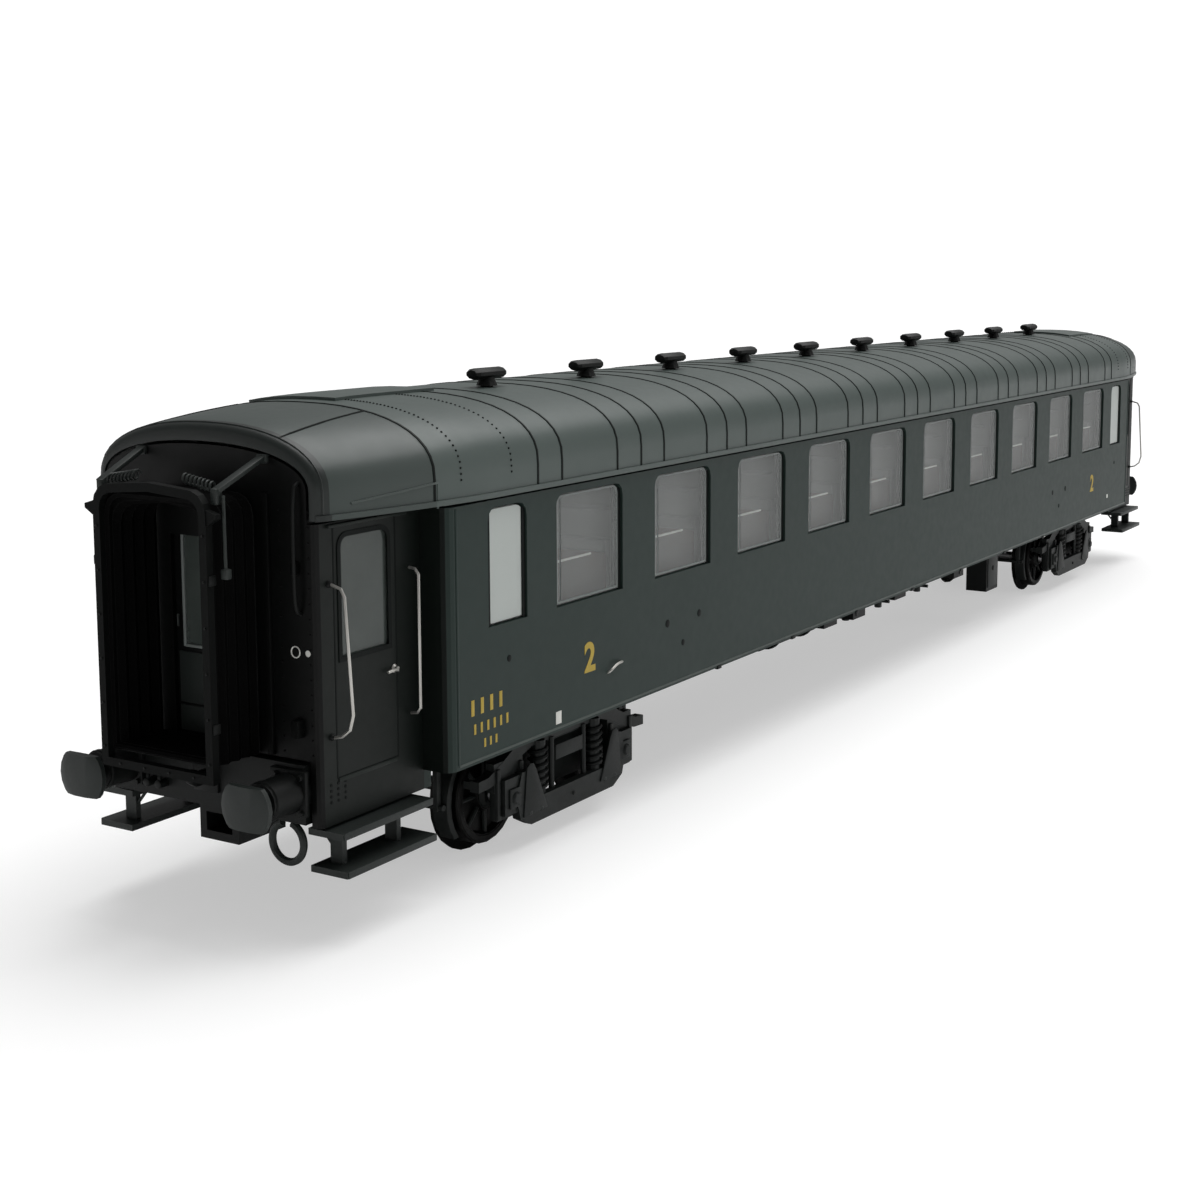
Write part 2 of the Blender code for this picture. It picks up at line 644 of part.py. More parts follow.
def bogie(name, middle, parts, tools):
    """A bogie frame: two sides tied by a bolster, bored for its pin and axles."""
    frame = box(
        name, (middle - 3.0 * MM, -12.2 * MM, 10.2 * MM), (middle + 3.0 * MM, 12.2 * MM, 11.9 * MM), parts
    )
    added = bogie_side(name + "_left", middle, -1, tools) + bogie_side(name + "_right", middle, 1, tools)
    for along in (-1, 1):
        xs = sorted((middle + along * 15.1 * MM, middle + along * 15.75 * MM))
        for side in (-1, 1):
            ys = sorted((side * 10.6 * MM, side * 12.2 * MM))
            added.append(box(
                "%s_end_lug_%d_%d" % (name, along, side), (xs[0], ys[0], 8.1 * MM), (xs[1], ys[1], 8.85 * MM), tools
            ))
    cut = [cylinder(
        name + "_pin_hole", PIVOT_RADIUS + GAP, (middle, 0, 9 * MM), (middle, 0, 13 * MM), tools, 20
    )]
    for along in (-1, 1):
        x = middle + along * HALF_WHEELBASE
        bore = AXLE_HALF_LENGTH + GAP
        cut.append(cylinder(
            "%s_axle_bore_%d" % (name, along), AXLE_RADIUS + GAP, (x, -bore, AXLE_Z), (x, bore, AXLE_Z), tools, 12
        ))
    combine(frame, added, "UNION")
    combine(frame, cut, "DIFFERENCE")
    return paint(frame, BLACK, 0.55)


def wheelset(number, x, parts):
    """An axle with needle ends and two wheels on it."""
    tip = 0.35 * MM
    half = AXLE_HALF_LENGTH
    profile = [(0.0, half), (tip, half), (AXLE_RADIUS, half - 0.9 * MM)]
    profile += [(r, -h) for r, h in reversed(profile)]
    across = Matrix.Translation((x, 0.0, AXLE_Z)) @ Matrix.Rotation(math.radians(-90), 4, "X")
    axle = turned("axle_%d" % number, profile, across, parts, 12)
    paint(axle, STEEL, 0.35, 1.0)
    bore = AXLE_RADIUS + 0.1 * MM
    width = WHEEL_WIDTH
    face = [
        (bore, width), (1.7 * MM, width), (2.0 * MM, width - 0.7 * MM), (4.0 * MM, width - 0.7 * MM),
        (4.3 * MM, width), (TREAD_RADIUS - 0.15 * MM, width), (TREAD_RADIUS, width - 0.2 * MM),
        (TREAD_RADIUS + 0.05 * MM, 0.8 * MM), (FLANGE_RADIUS, 0.45 * MM), (FLANGE_RADIUS - 0.1 * MM, 0.0),
        (bore, 0.0), (bore, width),
    ]
    for sign, side in ((-1, "left"), (1, "right")):
        place = Matrix.Translation((x, sign * WHEEL_BACK_Y, AXLE_Z))
        place = place @ Matrix.Rotation(math.radians(-90 * sign), 4, "X")
        wheel = turned("wheel_%d_%s" % (number, side), face, place, parts, 24)
        paint(wheel, STEEL, 0.4, 1.0)


def buffer_head(name, sign, y, parts, tools):
    """A sprung buffer: a round head with flat top and bottom, on a plunger."""
    r = BUFFER_HEAD_RADIUS
    start = HEADSTOCK_FACE_X + 0.4 * MM + BUFFER_TRAVEL
    x = BUFFER_FACE_X
    profile = [
        (0.0, x), (r * 0.75, x), (r, x - 0.25 * MM), (r, x - 0.7 * MM),
        (1.3 * MM, x - 0.8 * MM), (PLUNGER_RADIUS, x - 1.1 * MM), (PLUNGER_RADIUS, start), (0.0, start),
    ]
    along = Matrix.Translation((0.0, y, BUFFER_Z)) @ Matrix.Rotation(math.radians(90 * sign), 4, "Y")
    head = turned(name, profile, along, parts, 20)
    low = BUFFER_Z - BUFFER_HEAD_HALF_HEIGHT
    high = BUFFER_Z + BUFFER_HEAD_HALF_HEIGHT
    xs = sorted((sign * (x - 2 * MM), sign * (x + 1 * MM)))
    cut = [
        box(name + "_top_cut", (xs[0], y - 5 * MM, high), (xs[1], y + 5 * MM, high + 5 * MM), tools),
        box(name + "_bottom_cut", (xs[0], y - 5 * MM, low - 5 * MM), (xs[1], y + 5 * MM, low), tools),
    ]
    combine(head, cut, "DIFFERENCE")
    return paint(head, BLACK, 0.5)


def drawbar(name, sign, parts, tools):
    """The close-coupler arm: an eye on its pin, a bar, and the standard pocket at its end."""
    eye_x = sign * COUPLER_PIVOT_X
    arm = cylinder(
        name, 2.4 * MM, (eye_x, 0, COUPLER_Z - 0.7 * MM), (eye_x, 0, COUPLER_Z + 0.7 * MM), parts, 20
    )
    xs = sorted((sign * (COUPLER_PIVOT_X + 1.6 * MM), sign * (POCKET_FACE_X - 5 * MM)))
    bar = box(
        name + "_bar", (xs[0], -1.5 * MM, COUPLER_Z - 0.7 * MM), (xs[1], 1.5 * MM, COUPLER_Z + 0.7 * MM), tools
    )
    xs = sorted((sign * (POCKET_FACE_X - 6.2 * MM), sign * POCKET_FACE_X))
    pocket = box(
        name + "_pocket", (xs[0], -2.4 * MM, COUPLER_Z - 1.7 * MM), (xs[1], 2.4 * MM, COUPLER_Z + 1.7 * MM), tools
    )
    xs = sorted((sign * (POCKET_FACE_X - 4.6 * MM), sign * (POCKET_FACE_X + 1 * MM)))
    slot = box(
        name + "_slot", (xs[0], -1.6 * MM, COUPLER_Z - 0.9 * MM), (xs[1], 1.6 * MM, COUPLER_Z + 0.9 * MM), tools
    )
    hole = cylinder(
        name + "_pin_hole", 1.0 * MM + GAP, (eye_x, 0, COUPLER_Z - 2 * MM), (eye_x, 0, COUPLER_Z + 2 * MM), tools, 12
    )
    combine(arm, [bar, pocket], "UNION")
    combine(arm, [slot, hole], "DIFFERENCE")
    return paint(arm, BLACK, 0.6)


def gangway_outline(half, bottom, top, corner):
    """The upright outline of the gangway, with rounded upper corners and a slightly arched top."""
    crown = 0.35 * MM
    right = arc((half - corner, top - crown - corner), corner, 0, 80, 3)
    left = [(-y, z) for y, z in reversed(right)]
    return [(-half, bottom), (half, bottom)] + right + [(0.0, top)] + left


def gangway_frame(name, sign, parts, tools):
    """The flat frame at the front of the gangway, with an ear at each upper corner."""
    middle = sign * (GANGWAY_FACE_X - GANGWAY_FRAME_DEPTH / 2)
    outer = gangway_outline(GANGWAY_HALF_WIDTH, GANGWAY_BOTTOM, GANGWAY_TOP, 2.0 * MM)
    bar = GANGWAY_BAR
    inner = gangway_outline(
        GANGWAY_HALF_WIDTH - bar, GANGWAY_BOTTOM + bar, GANGWAY_TOP - bar, 1.4 * MM
    )
    frame = plate(name, [outer, inner], GANGWAY_FRAME_DEPTH, facing_x(middle), parts)
    ears = []
    for side in (-1, 1):
        ear = [(6.2, 37.9), (7.9, 38.9), (7.9, 39.3), (6.2, 39.8)]
        outline = [(side * y * MM, z * MM) for y, z in ear]
        ears.append(plate(
            "%s_ear_%d" % (name, side), [outline], GANGWAY_FRAME_DEPTH * 0.8, facing_x(middle), tools
        ))
    combine(frame, ears, "UNION")
    return paint(frame, BLACK, 0.6)


def bellows(name, sign, parts):
    """The pleated bellows between the end wall and the gangway frame, hollow right through."""
    start = END_X + GAP
    end = GANGWAY_FACE_X - GANGWAY_FRAME_DEPTH - GAP
    stations = 2 * BELLOWS_PLEATS + 1
    thickness = 0.7 * MM
    bm = bmesh.new()
    rings = []
    for inner in (False, True):
        rows = []
        for i in range(stations):
            x = sign * (start + (end - start) * i / (stations - 1))
            fold = 0.35 * MM if i % 2 else 0.0
            half = BELLOWS_HALF_WIDTH - fold - (thickness if inner else 0.0)
            top = GANGWAY_TOP - 0.9 * MM - fold - (thickness if inner else 0.0)
            bottom = HEADSTOCK_TOP + 0.3 * MM + (thickness if inner else 0.0)
            outline = gangway_outline(half, bottom, top, 1.9 * MM)
            rows.append([bm.verts.new((x, y, z)) for y, z in outline])
        rings.append(rows if not inner else rows[::-1])
    loop = rings[0] + rings[1]
    for i, row in enumerate(loop):
        following = loop[(i + 1) % len(loop)]
        count = len(row)
        for j in range(count):
            bm.faces.new((row[j], following[j], following[(j + 1) % count], row[(j + 1) % count]))
    bmesh.ops.recalc_face_normals(bm, faces=bm.faces)
    return paint(mesh_object(name, bm, parts), BLACK, 0.8)


def entrance_steps(name, sign, side, parts, tools):
    """Two step boards under a door, hung from brackets."""
    xs = sorted((sign * 113.6 * MM, sign * 126.4 * MM))
    top = PORCH_BOTTOM - GAP
    ys = sorted((side * 11.0 * MM, side * 15.0 * MM))
    boards = box(name, (xs[0], ys[0], top - 0.6 * MM), (xs[1], ys[1], top), parts)
    ys = sorted((side * 11.2 * MM, side * 15.4 * MM))
    added = [box(name + "_lower", (xs[0], ys[0], 6.6 * MM), (xs[1], ys[1], 7.2 * MM), tools)]
    for place in (117.0, 124.6):
        x = sign * place * MM
        ys = sorted((side * 12.2 * MM, side * 13.6 * MM))
        added.append(box(
            "%s_bracket_%d" % (name, place), (x - 0.3 * MM, ys[0], 6.9 * MM), (x + 0.3 * MM, ys[1], top - 0.3 * MM), tools
        ))
    combine(boards, added, "UNION")
    return paint(boards, BLACK, 0.6)


def handrails(sign, side, end_name, side_name, parts):
    """The bowed rail at the outer door post and the straight rail at the inner one."""
    radius = 0.15 * MM
    wall = PORCH_HALF_WIDTH + GAP
    x = sign * 125.4 * MM
    bowed = [
        (wall, 32.6), (14.5 * MM, 32.3), (14.9 * MM, 31.6), (15.6 * MM, 21.2), (15.2 * MM, 19.8),
        (14.3 * MM, 19.1), (wall, 18.9),
    ]
    points = [(x, side * y, z * MM) for y, z in bowed]
    paint(wire("handrail_bowed_%s_%s" % (side_name, end_name), points, radius, parts), RAIL_WIRE, 0.35, 0.6)
    x = sign * 114.6 * MM
    straight = [(wall, 32.6), (14.1 * MM, 32.5), (14.5 * MM, 32.0), (14.5 * MM, 19.4), (14.1 * MM, 18.9), (wall, 18.8)]
    points = [(x, side * y, z * MM) for y, z in straight]
    paint(wire("handrail_straight_%s_%s" % (side_name, end_name), points, radius, parts), RAIL_WIRE, 0.35, 0.6)


def brake_hose(name, sign, parts):
    """The moulded hose that loops below the headstock."""
    middle_y, middle_z, radius = 8.75 * MM, 9.0 * MM, 1.85 * MM
    x = sign * (HEADSTOCK_FACE_X - 0.9 * MM)
    points = []
    for y, z in arc((middle_y, middle_z), radius, 108, 432, 14):
        points.append((x, sign * y, z))
    return paint(wire(name, points, 0.36 * MM, parts), BLACK, 0.55)


# ---------------------------------------------------------------- the whole coach

def shade_round_pieces(parts):
    for obj in parts.objects:
        obj.data.shade_smooth()
        obj.data.set_sharp_from_angle(angle=math.radians(35))


def build():
    clear_scene()
    parts = new_collection("passenger_coach")
    tools = new_collection("cutters")
    body_shell(parts, tools)
    roof(parts)
    roof_vents(parts, tools)
    glazing(parts, tools)
    interior(parts, tools)
    underframe(parts, tools)
    for number, middle in ((0, -BOGIE_X), (1, BOGIE_X)):
        bogie("bogie_frame_" + ("front", "rear")[number], middle, parts, tools)
        wheelset(2 * number + 1, middle - HALF_WHEELBASE, parts)
        wheelset(2 * number + 2, middle + HALF_WHEELBASE, parts)
    for sign, end in ((-1, "front"), (1, "rear")):
        for side, side_name in ((-1, "left"), (1, "right")):
            buffer_head("buffer_head_%s_%s" % (side_name, end), sign, side * BUFFER_Y, parts, tools)
            entrance_steps("steps_%s_%s" % (side_name, end), sign, side, parts, tools)
            handrails(sign, side, end, side_name, parts)
        drawbar("drawbar_" + end, sign, parts, tools)
        gangway_frame("gangway_frame_" + end, sign, parts, tools)
        bellows("bellows_" + end, sign, parts)
        brake_hose("brake_hose_" + end, sign, parts)
    for tool in tools.objects:
        hide_tool(tool)
    shade_round_pieces(parts)


build()
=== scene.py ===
"""Looks of a model passenger coach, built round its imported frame.

X runs along the coach, Z is up, zero is the lowest point of the wheel flanges. The front end is
at -X and the left side at -Y. Half a turn about Z carries every fitting onto its twin.
"""

import json
import logging
import math
from dataclasses import dataclass
from enum import Enum
from typing import Callable, Iterable, Optional, Sequence, Union

import bmesh
import bpy
from mathutils import Matrix, Vector

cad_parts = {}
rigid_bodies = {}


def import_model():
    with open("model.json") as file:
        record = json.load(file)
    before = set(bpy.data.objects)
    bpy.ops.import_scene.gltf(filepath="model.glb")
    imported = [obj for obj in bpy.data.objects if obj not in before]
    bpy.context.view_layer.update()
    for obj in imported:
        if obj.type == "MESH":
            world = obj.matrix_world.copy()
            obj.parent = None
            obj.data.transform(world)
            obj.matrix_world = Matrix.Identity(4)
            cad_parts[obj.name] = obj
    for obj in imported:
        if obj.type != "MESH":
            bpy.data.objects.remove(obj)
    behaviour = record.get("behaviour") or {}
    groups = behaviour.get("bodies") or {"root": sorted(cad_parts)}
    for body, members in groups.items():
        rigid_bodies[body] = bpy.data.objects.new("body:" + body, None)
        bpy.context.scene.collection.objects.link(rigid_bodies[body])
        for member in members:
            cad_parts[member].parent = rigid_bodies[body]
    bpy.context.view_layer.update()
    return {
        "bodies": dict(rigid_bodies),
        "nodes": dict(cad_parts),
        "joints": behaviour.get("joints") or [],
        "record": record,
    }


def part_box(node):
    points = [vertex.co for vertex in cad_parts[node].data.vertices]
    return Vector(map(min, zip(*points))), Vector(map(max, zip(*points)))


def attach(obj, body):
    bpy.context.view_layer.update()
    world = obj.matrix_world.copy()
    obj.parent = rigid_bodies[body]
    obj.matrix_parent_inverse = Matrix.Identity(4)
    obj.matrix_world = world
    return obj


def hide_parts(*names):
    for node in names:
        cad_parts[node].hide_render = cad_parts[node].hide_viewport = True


MM = 0.001
LOG = logging.getLogger("coach")
Point = Sequence[float]
Shape = bpy.types.Object
Feed = Union[bpy.types.NodeSocket, float]
HALF_TURN = Matrix.Rotation(math.pi, 4, "Z")


class End(Enum):
    """Which end of the coach a fitting belongs to."""

    FRONT = "front"
    REAR = "rear"

    @property
    def turn(self) -> Matrix:
        """The move that carries a front fitting to this end."""
        return HALF_TURN if self is End.REAR else Matrix.Identity(4)


# ---------------------------------------------------------------- node groups and finishes


def group_shell(name: str, inputs: dict, outputs: dict) -> bpy.types.NodeTree:
    """Make an empty shader group.

    Args:
        name: the group's name.
        inputs: socket name to (socket type, default).
        outputs: socket name to socket type.

    Returns:
        The group's node tree, with its input and output nodes in place.
    """
    tree = bpy.data.node_groups.new(name, "ShaderNodeTree")
    for label, (kind, default) in inputs.items():
        socket = tree.interface.new_socket(label, in_out="INPUT", socket_type=kind)
        socket.default_value = default
    for label, kind in outputs.items():
        tree.interface.new_socket(label, in_out="OUTPUT", socket_type=kind)
    tree.nodes.new("NodeGroupInput")
    tree.nodes.new("NodeGroupOutput")
    return tree


def math_node(tree: bpy.types.NodeTree, operation: str, first: Feed, second: Feed) -> bpy.types.NodeSocket:
    """Add a Math node to a tree and feed it sockets or numbers.

    Args:
        tree: the tree that the node joins.
        operation: what the node does.
        first: its first input, a socket or a number.
        second: its second input.

    Returns:
        The node's output.
    """
    node = tree.nodes.new("ShaderNodeMath")
    node.operation = operation
    for socket, value in zip(node.inputs, (first, second)):
        if isinstance(value, (int, float)):
            socket.default_value = value
        else:
            tree.links.new(value, socket)
    return node.outputs[0]


def plastic_group() -> bpy.types.NodeTree:
    """Mottled colour, uneven sheen and a fine bump, as on moulded and printed plastic."""
    tree = group_shell(
        "moulded_plastic",
        {
            "Color": ("NodeSocketColor", (0.1, 0.1, 0.1, 1.0)),
            "Second Color": ("NodeSocketColor", (0.2, 0.2, 0.2, 1.0)),
            "Scale": ("NodeSocketFloat", 400.0),
            "Mottle": ("NodeSocketFloat", 0.3),
            "Roughness": ("NodeSocketFloat", 0.5),
            "Spread": ("NodeSocketFloat", 0.12),
        },
        {"Color": "NodeSocketColor", "Roughness": "NodeSocketFloat", "Height": "NodeSocketFloat"},
    )
    nodes, links = tree.nodes, tree.links
    given = nodes["Group Input"].outputs
    place = nodes.new("ShaderNodeTexCoord")
    cloud = nodes.new("ShaderNodeTexNoise")
    cloud.inputs["Detail"].default_value = 5.0
    cloud.inputs["Roughness"].default_value = 0.6
    links.new(place.outputs["Object"], cloud.inputs["Vector"])
    links.new(given["Scale"], cloud.inputs["Scale"])
    fine = nodes.new("ShaderNodeTexNoise")
    fine.inputs["Detail"].default_value = 2.0
    links.new(place.outputs["Object"], fine.inputs["Vector"])
    links.new(math_node(tree, "MULTIPLY", given["Scale"], 14.0), fine.inputs["Scale"])
    ramp = nodes.new("ShaderNodeMapRange")
    ramp.inputs["From Min"].default_value = 0.35
    ramp.inputs["From Max"].default_value = 0.7
    links.new(cloud.outputs["Fac"], ramp.inputs["Value"])
    mix = nodes.new("ShaderNodeMix")
    mix.data_type = "RGBA"
    links.new(math_node(tree, "MULTIPLY", ramp.outputs["Result"], given["Mottle"]), mix.inputs["Factor"])
    links.new(given["Color"], mix.inputs["A"])
    links.new(given["Second Color"], mix.inputs["B"])
    uneven = math_node(tree, "SUBTRACT", fine.outputs["Fac"], 0.5)
    sheen = math_node(tree, "ADD", given["Roughness"], math_node(tree, "MULTIPLY", uneven, given["Spread"]))
    made = nodes["Group Output"].inputs
    links.new(mix.outputs["Result"], made["Color"])
    links.new(sheen, made["Roughness"])
    links.new(fine.outputs["Fac"], made["Height"])
    return tree


def edge_group() -> bpy.types.NodeTree:
    """Lighter colour on a moulding's edges: partly dust and rubbing, partly a painted highlight where the
    edges catch the light.
    """
    tree = group_shell(
        "worn_highlit_edges",
        {
            "Color": ("NodeSocketColor", (0.1, 0.1, 0.1, 1.0)),
            "Edge Color": ("NodeSocketColor", (0.4, 0.4, 0.4, 1.0)),
            "Amount": ("NodeSocketFloat", 0.5),
            "Width": ("NodeSocketFloat", 0.00015),
        },
        {"Color": "NodeSocketColor", "Mask": "NodeSocketFloat"},
    )
    nodes, links = tree.nodes, tree.links
    given = nodes["Group Input"].outputs
    bevel = nodes.new("ShaderNodeBevel")
    bevel.samples = 6
    links.new(given["Width"], bevel.inputs["Radius"])
    surface = nodes.new("ShaderNodeNewGeometry")
    dot = nodes.new("ShaderNodeVectorMath")
    dot.operation = "DOT_PRODUCT"
    links.new(bevel.outputs["Normal"], dot.inputs[0])
    links.new(surface.outputs["Normal"], dot.inputs[1])
    turned = math_node(tree, "SUBTRACT", 1.0, dot.outputs["Value"])
    place = nodes.new("ShaderNodeTexCoord")
    rub = nodes.new("ShaderNodeTexNoise")
    rub.inputs["Scale"].default_value = 700.0
    links.new(place.outputs["Object"], rub.inputs["Vector"])
    patch = math_node(tree, "MULTIPLY", turned, math_node(tree, "MULTIPLY", rub.outputs["Fac"], 9.0))
    amount = math_node(tree, "MULTIPLY", patch, given["Amount"])
    limit = math_node(tree, "MINIMUM", amount, 1.0)
    mix = nodes.new("ShaderNodeMix")
    mix.data_type = "RGBA"
    links.new(limit, mix.inputs["Factor"])
    links.new(given["Color"], mix.inputs["A"])
    links.new(given["Edge Color"], mix.inputs["B"])
    made = nodes["Group Output"].inputs
    links.new(mix.outputs["Result"], made["Color"])
    links.new(limit, made["Mask"])
    return tree


class Workshop:
    """Holds the shared node groups and every material made so far."""

    groups: dict = {}
    made: dict = {}

    @classmethod
    def group(cls, name: str, maker: Callable[[], bpy.types.NodeTree]) -> bpy.types.NodeTree:
        """Return a shared group, building it the first time.

        Args:
            name: what the group is kept under.
            maker: builds the group.

        Returns:
            The group's node tree.
        """
        if name not in cls.groups:
            cls.groups[name] = maker()
        return cls.groups[name]


@dataclass(frozen=True)
class Finish:
    """A plastic, paint or metal finish.

    Attributes:
        name: the material's name.
        colour: main colour, linear.
        second: colour of the mottling.
        roughness: mean roughness.
        metallic: 0 for plastic and paint, 1 for bare metal.
        scale: mottling scale on object coordinates.
        mottle: how much of the second colour shows.
        edge: colour of the lighter edges, partly worn and partly a painted highlight.
        wear_and_highlight: how strongly the lighter edges show, partly wear and partly painted highlight.
        bump: height of the fine grain, in metres.
        coat: clear coat weight.
        gloss: specular level.
    """

    name: str
    colour: tuple
    second: tuple
    roughness: float = 0.5
    metallic: float = 0.0
    scale: float = 300.0
    mottle: float = 0.5
    edge: tuple = (0.3, 0.32, 0.31)
    wear_and_highlight: float = 0.25
    bump: float = 0.00001
    coat: float = 0.0
    gloss: float = 0.35

    def material(self) -> bpy.types.Material:
        """Build this finish's material, or return the one made before.

        Returns:
            The material.
        """
        if self.name in Workshop.made:
            return Workshop.made[self.name]
        material = bpy.data.materials.new(self.name)
        material.use_nodes = True
        tree = material.node_tree
        shader = tree.nodes["Principled BSDF"]
        body = tree.nodes.new("ShaderNodeGroup")
        body.node_tree = Workshop.group("plastic", plastic_group)
        body.inputs["Color"].default_value = (*self.colour, 1.0)
        body.inputs["Second Color"].default_value = (*self.second, 1.0)
        body.inputs["Scale"].default_value = self.scale
        body.inputs["Mottle"].default_value = self.mottle
        body.inputs["Roughness"].default_value = self.roughness
        colour = body.outputs["Color"]
        # Lighten the edges: partly wear, partly a painted highlight.
        if self.wear_and_highlight > 0:
            edge = tree.nodes.new("ShaderNodeGroup")
            edge.node_tree = Workshop.group("edge", edge_group)
            edge.inputs["Edge Color"].default_value = (*self.edge, 1.0)
            edge.inputs["Amount"].default_value = self.wear_and_highlight
            tree.links.new(colour, edge.inputs["Color"])
            colour = edge.outputs["Color"]
        tree.links.new(colour, shader.inputs["Base Color"])
        tree.links.new(body.outputs["Roughness"], shader.inputs["Roughness"])
        bump = tree.nodes.new("ShaderNodeBump")
        bump.inputs["Distance"].default_value = self.bump
        bump.inputs["Strength"].default_value = 0.5
        tree.links.new(body.outputs["Height"], bump.inputs["Height"])
        tree.links.new(bump.outputs["Normal"], shader.inputs["Normal"])
        shader.inputs["Metallic"].default_value = self.metallic
        shader.inputs["Coat Weight"].default_value = self.coat
        shader.inputs["Specular IOR Level"].default_value = self.gloss
        Workshop.made[self.name] = material
        return material


def zone_group() -> bpy.types.NodeTree:
    """Other colours beyond two distances from the coach's middle: painted shade for the doors, then the end
    walls' colour.
    """
    tree = group_shell(
        "end_zones",
        {
            "Color": ("NodeSocketColor", (0.1, 0.1, 0.1, 1.0)),
            "Porch Shade Color": ("NodeSocketColor", (0.05, 0.05, 0.05, 1.0)),
            "Wall Color": ("NodeSocketColor", (0.01, 0.01, 0.01, 1.0)),
            "Porch From": ("NodeSocketFloat", 0.1),
            "Wall From": ("NodeSocketFloat", 0.12),
        },
        {"Color": "NodeSocketColor"},
    )
    nodes, links = tree.nodes, tree.links
    given = nodes["Group Input"].outputs
    place = nodes.new("ShaderNodeTexCoord")
    split = nodes.new("ShaderNodeSeparateXYZ")
    links.new(place.outputs["Object"], split.inputs["Vector"])
    away = nodes.new("ShaderNodeMath")
    away.operation = "ABSOLUTE"
    links.new(split.outputs["X"], away.inputs[0])
    colour = given["Color"]
    for limit, other in (("Porch From", "Porch Shade Color"), ("Wall From", "Wall Color")):
        mix = nodes.new("ShaderNodeMix")
        mix.data_type = "RGBA"
        links.new(math_node(tree, "GREATER_THAN", away.outputs[0], given[limit]), mix.inputs["Factor"])
        links.new(colour, mix.inputs["A"])
        links.new(given[other], mix.inputs["B"])
        colour = mix.outputs["Result"]
    links.new(colour, nodes["Group Output"].inputs["Color"])
    return tree


@dataclass(frozen=True)
class ZonedFinish(Finish):
    """A finish with painted shade on the entrances and another colour on the ends: black on the body's end
    walls, painted shade on the roof's end.

    Attributes:
        porch: painted shade for the entrances, which lie in shadow.
        wall: colour of the ends, the body's own black end wall and, on the roof, painted shade.
        porch_from: where the entrance colour starts, in metres from the middle.
        wall_from: where the end wall's colour starts.
    """

    # The entrance colour is painted shade: the recessed entrances lie in shadow.
    porch: tuple = (0.0040, 0.0062, 0.0050)
    wall: tuple = (0.0008, 0.0011, 0.0010)
    porch_from: float = 0.11245
    wall_from: float = 0.12645

    def material(self) -> bpy.types.Material:
        """Build the finish and lay the zones over its colour.

        Returns:
            The material.
        """
        known = self.name in Workshop.made
        material = super().material()
        if not known:
            tree = material.node_tree
            shader = tree.nodes["Principled BSDF"]
            plain = shader.inputs["Base Color"].links[0].from_socket
            zones = tree.nodes.new("ShaderNodeGroup")
            zones.node_tree = Workshop.group("zones", zone_group)
            zones.inputs["Porch Shade Color"].default_value = (*self.porch, 1.0)
            zones.inputs["Wall Color"].default_value = (*self.wall, 1.0)
            zones.inputs["Porch From"].default_value = self.porch_from
            zones.inputs["Wall From"].default_value = self.wall_from
            tree.links.new(plain, zones.inputs["Color"])
            tree.links.new(zones.outputs["Color"], shader.inputs["Base Color"])
        return material


@dataclass(frozen=True)
class Glazing(Finish):
    """Clear or frosted moulded glazing, faintly clouded."""

    alpha: float = 0.35

    def material(self) -> bpy.types.Material:
        """Build the glazing on top of the plain finish.

        Returns:
            The material.
        """
        known = self.name in Workshop.made
        material = super().material()
        if not known:
            shader = material.node_tree.nodes["Principled BSDF"]
            shader.inputs["Alpha"].default_value = self.alpha
            shader.inputs["IOR"].default_value = 1.49
        return material


# The body's entrances get painted shade; its black end walls are their own colour.
GREEN = ZonedFinish(
    "coach_green", (0.0165, 0.0275, 0.0240), (0.0205, 0.0325, 0.0285), 0.48, scale=60.0, wear_and_highlight=0.05,
    edge=(0.05, 0.062, 0.056), mottle=0.6, gloss=0.17,
)
# A darker green for the door trim: painted shade, as the doors lie in the entrance's shadow.
DOOR_SHADE_GREEN = Finish(
    "door_shaded_green", (0.0080, 0.0115, 0.0095), (0.0105, 0.0145, 0.0120), 0.5, scale=200.0, wear_and_highlight=0.06,
    edge=(0.035, 0.042, 0.038), gloss=0.2,
)
END_BLACK = Finish(
    "end_wall_black", (0.0012, 0.0015, 0.0014), (0.0028, 0.0032, 0.003), 0.65, wear_and_highlight=0.03, gloss=0.08,
)
# Both of the roof's zones are painted shade: over the entrances, and on its end, which faces away from the
# light.
ROOF = ZonedFinish(
    "roof_green_grey", (0.054, 0.071, 0.065), (0.066, 0.084, 0.078), 0.42, scale=45.0, wear_and_highlight=0.05,
    edge=(0.10, 0.12, 0.11), bump=0.000014, gloss=0.38, porch=(0.036, 0.048, 0.0435),
    wall=(0.008, 0.0115, 0.0102), porch_from=0.1139, wall_from=0.1257,
)
SEAM = Finish("seam_shadow", (0.003, 0.0045, 0.004), (0.006, 0.008, 0.0075), 0.6, wear_and_highlight=0.0, gloss=0.12)
BLACK = Finish(
    "moulded_black", (0.0032, 0.004, 0.0037), (0.006, 0.0072, 0.0068), 0.5, wear_and_highlight=0.06,
    edge=(0.03, 0.034, 0.032), gloss=0.18,
)
STEP_GREY = Finish(
    "step_dark_grey", (0.016, 0.020, 0.0185), (0.022, 0.0265, 0.0245), 0.5, wear_and_highlight=0.12,
    edge=(0.07, 0.08, 0.075), gloss=0.3,
)
FRAME = Finish(
    "bogie_dark_grey", (0.0065, 0.0082, 0.0076), (0.014, 0.0168, 0.0158), 0.5, wear_and_highlight=0.16, mottle=0.8,
    edge=(0.06, 0.068, 0.064), gloss=0.22,
)
GANGWAY = Finish(
    "gangway_black", (0.0026, 0.0031, 0.0029), (0.0045, 0.0052, 0.0049), 0.6, wear_and_highlight=0.05,
    edge=(0.02, 0.023, 0.022), gloss=0.08,
)
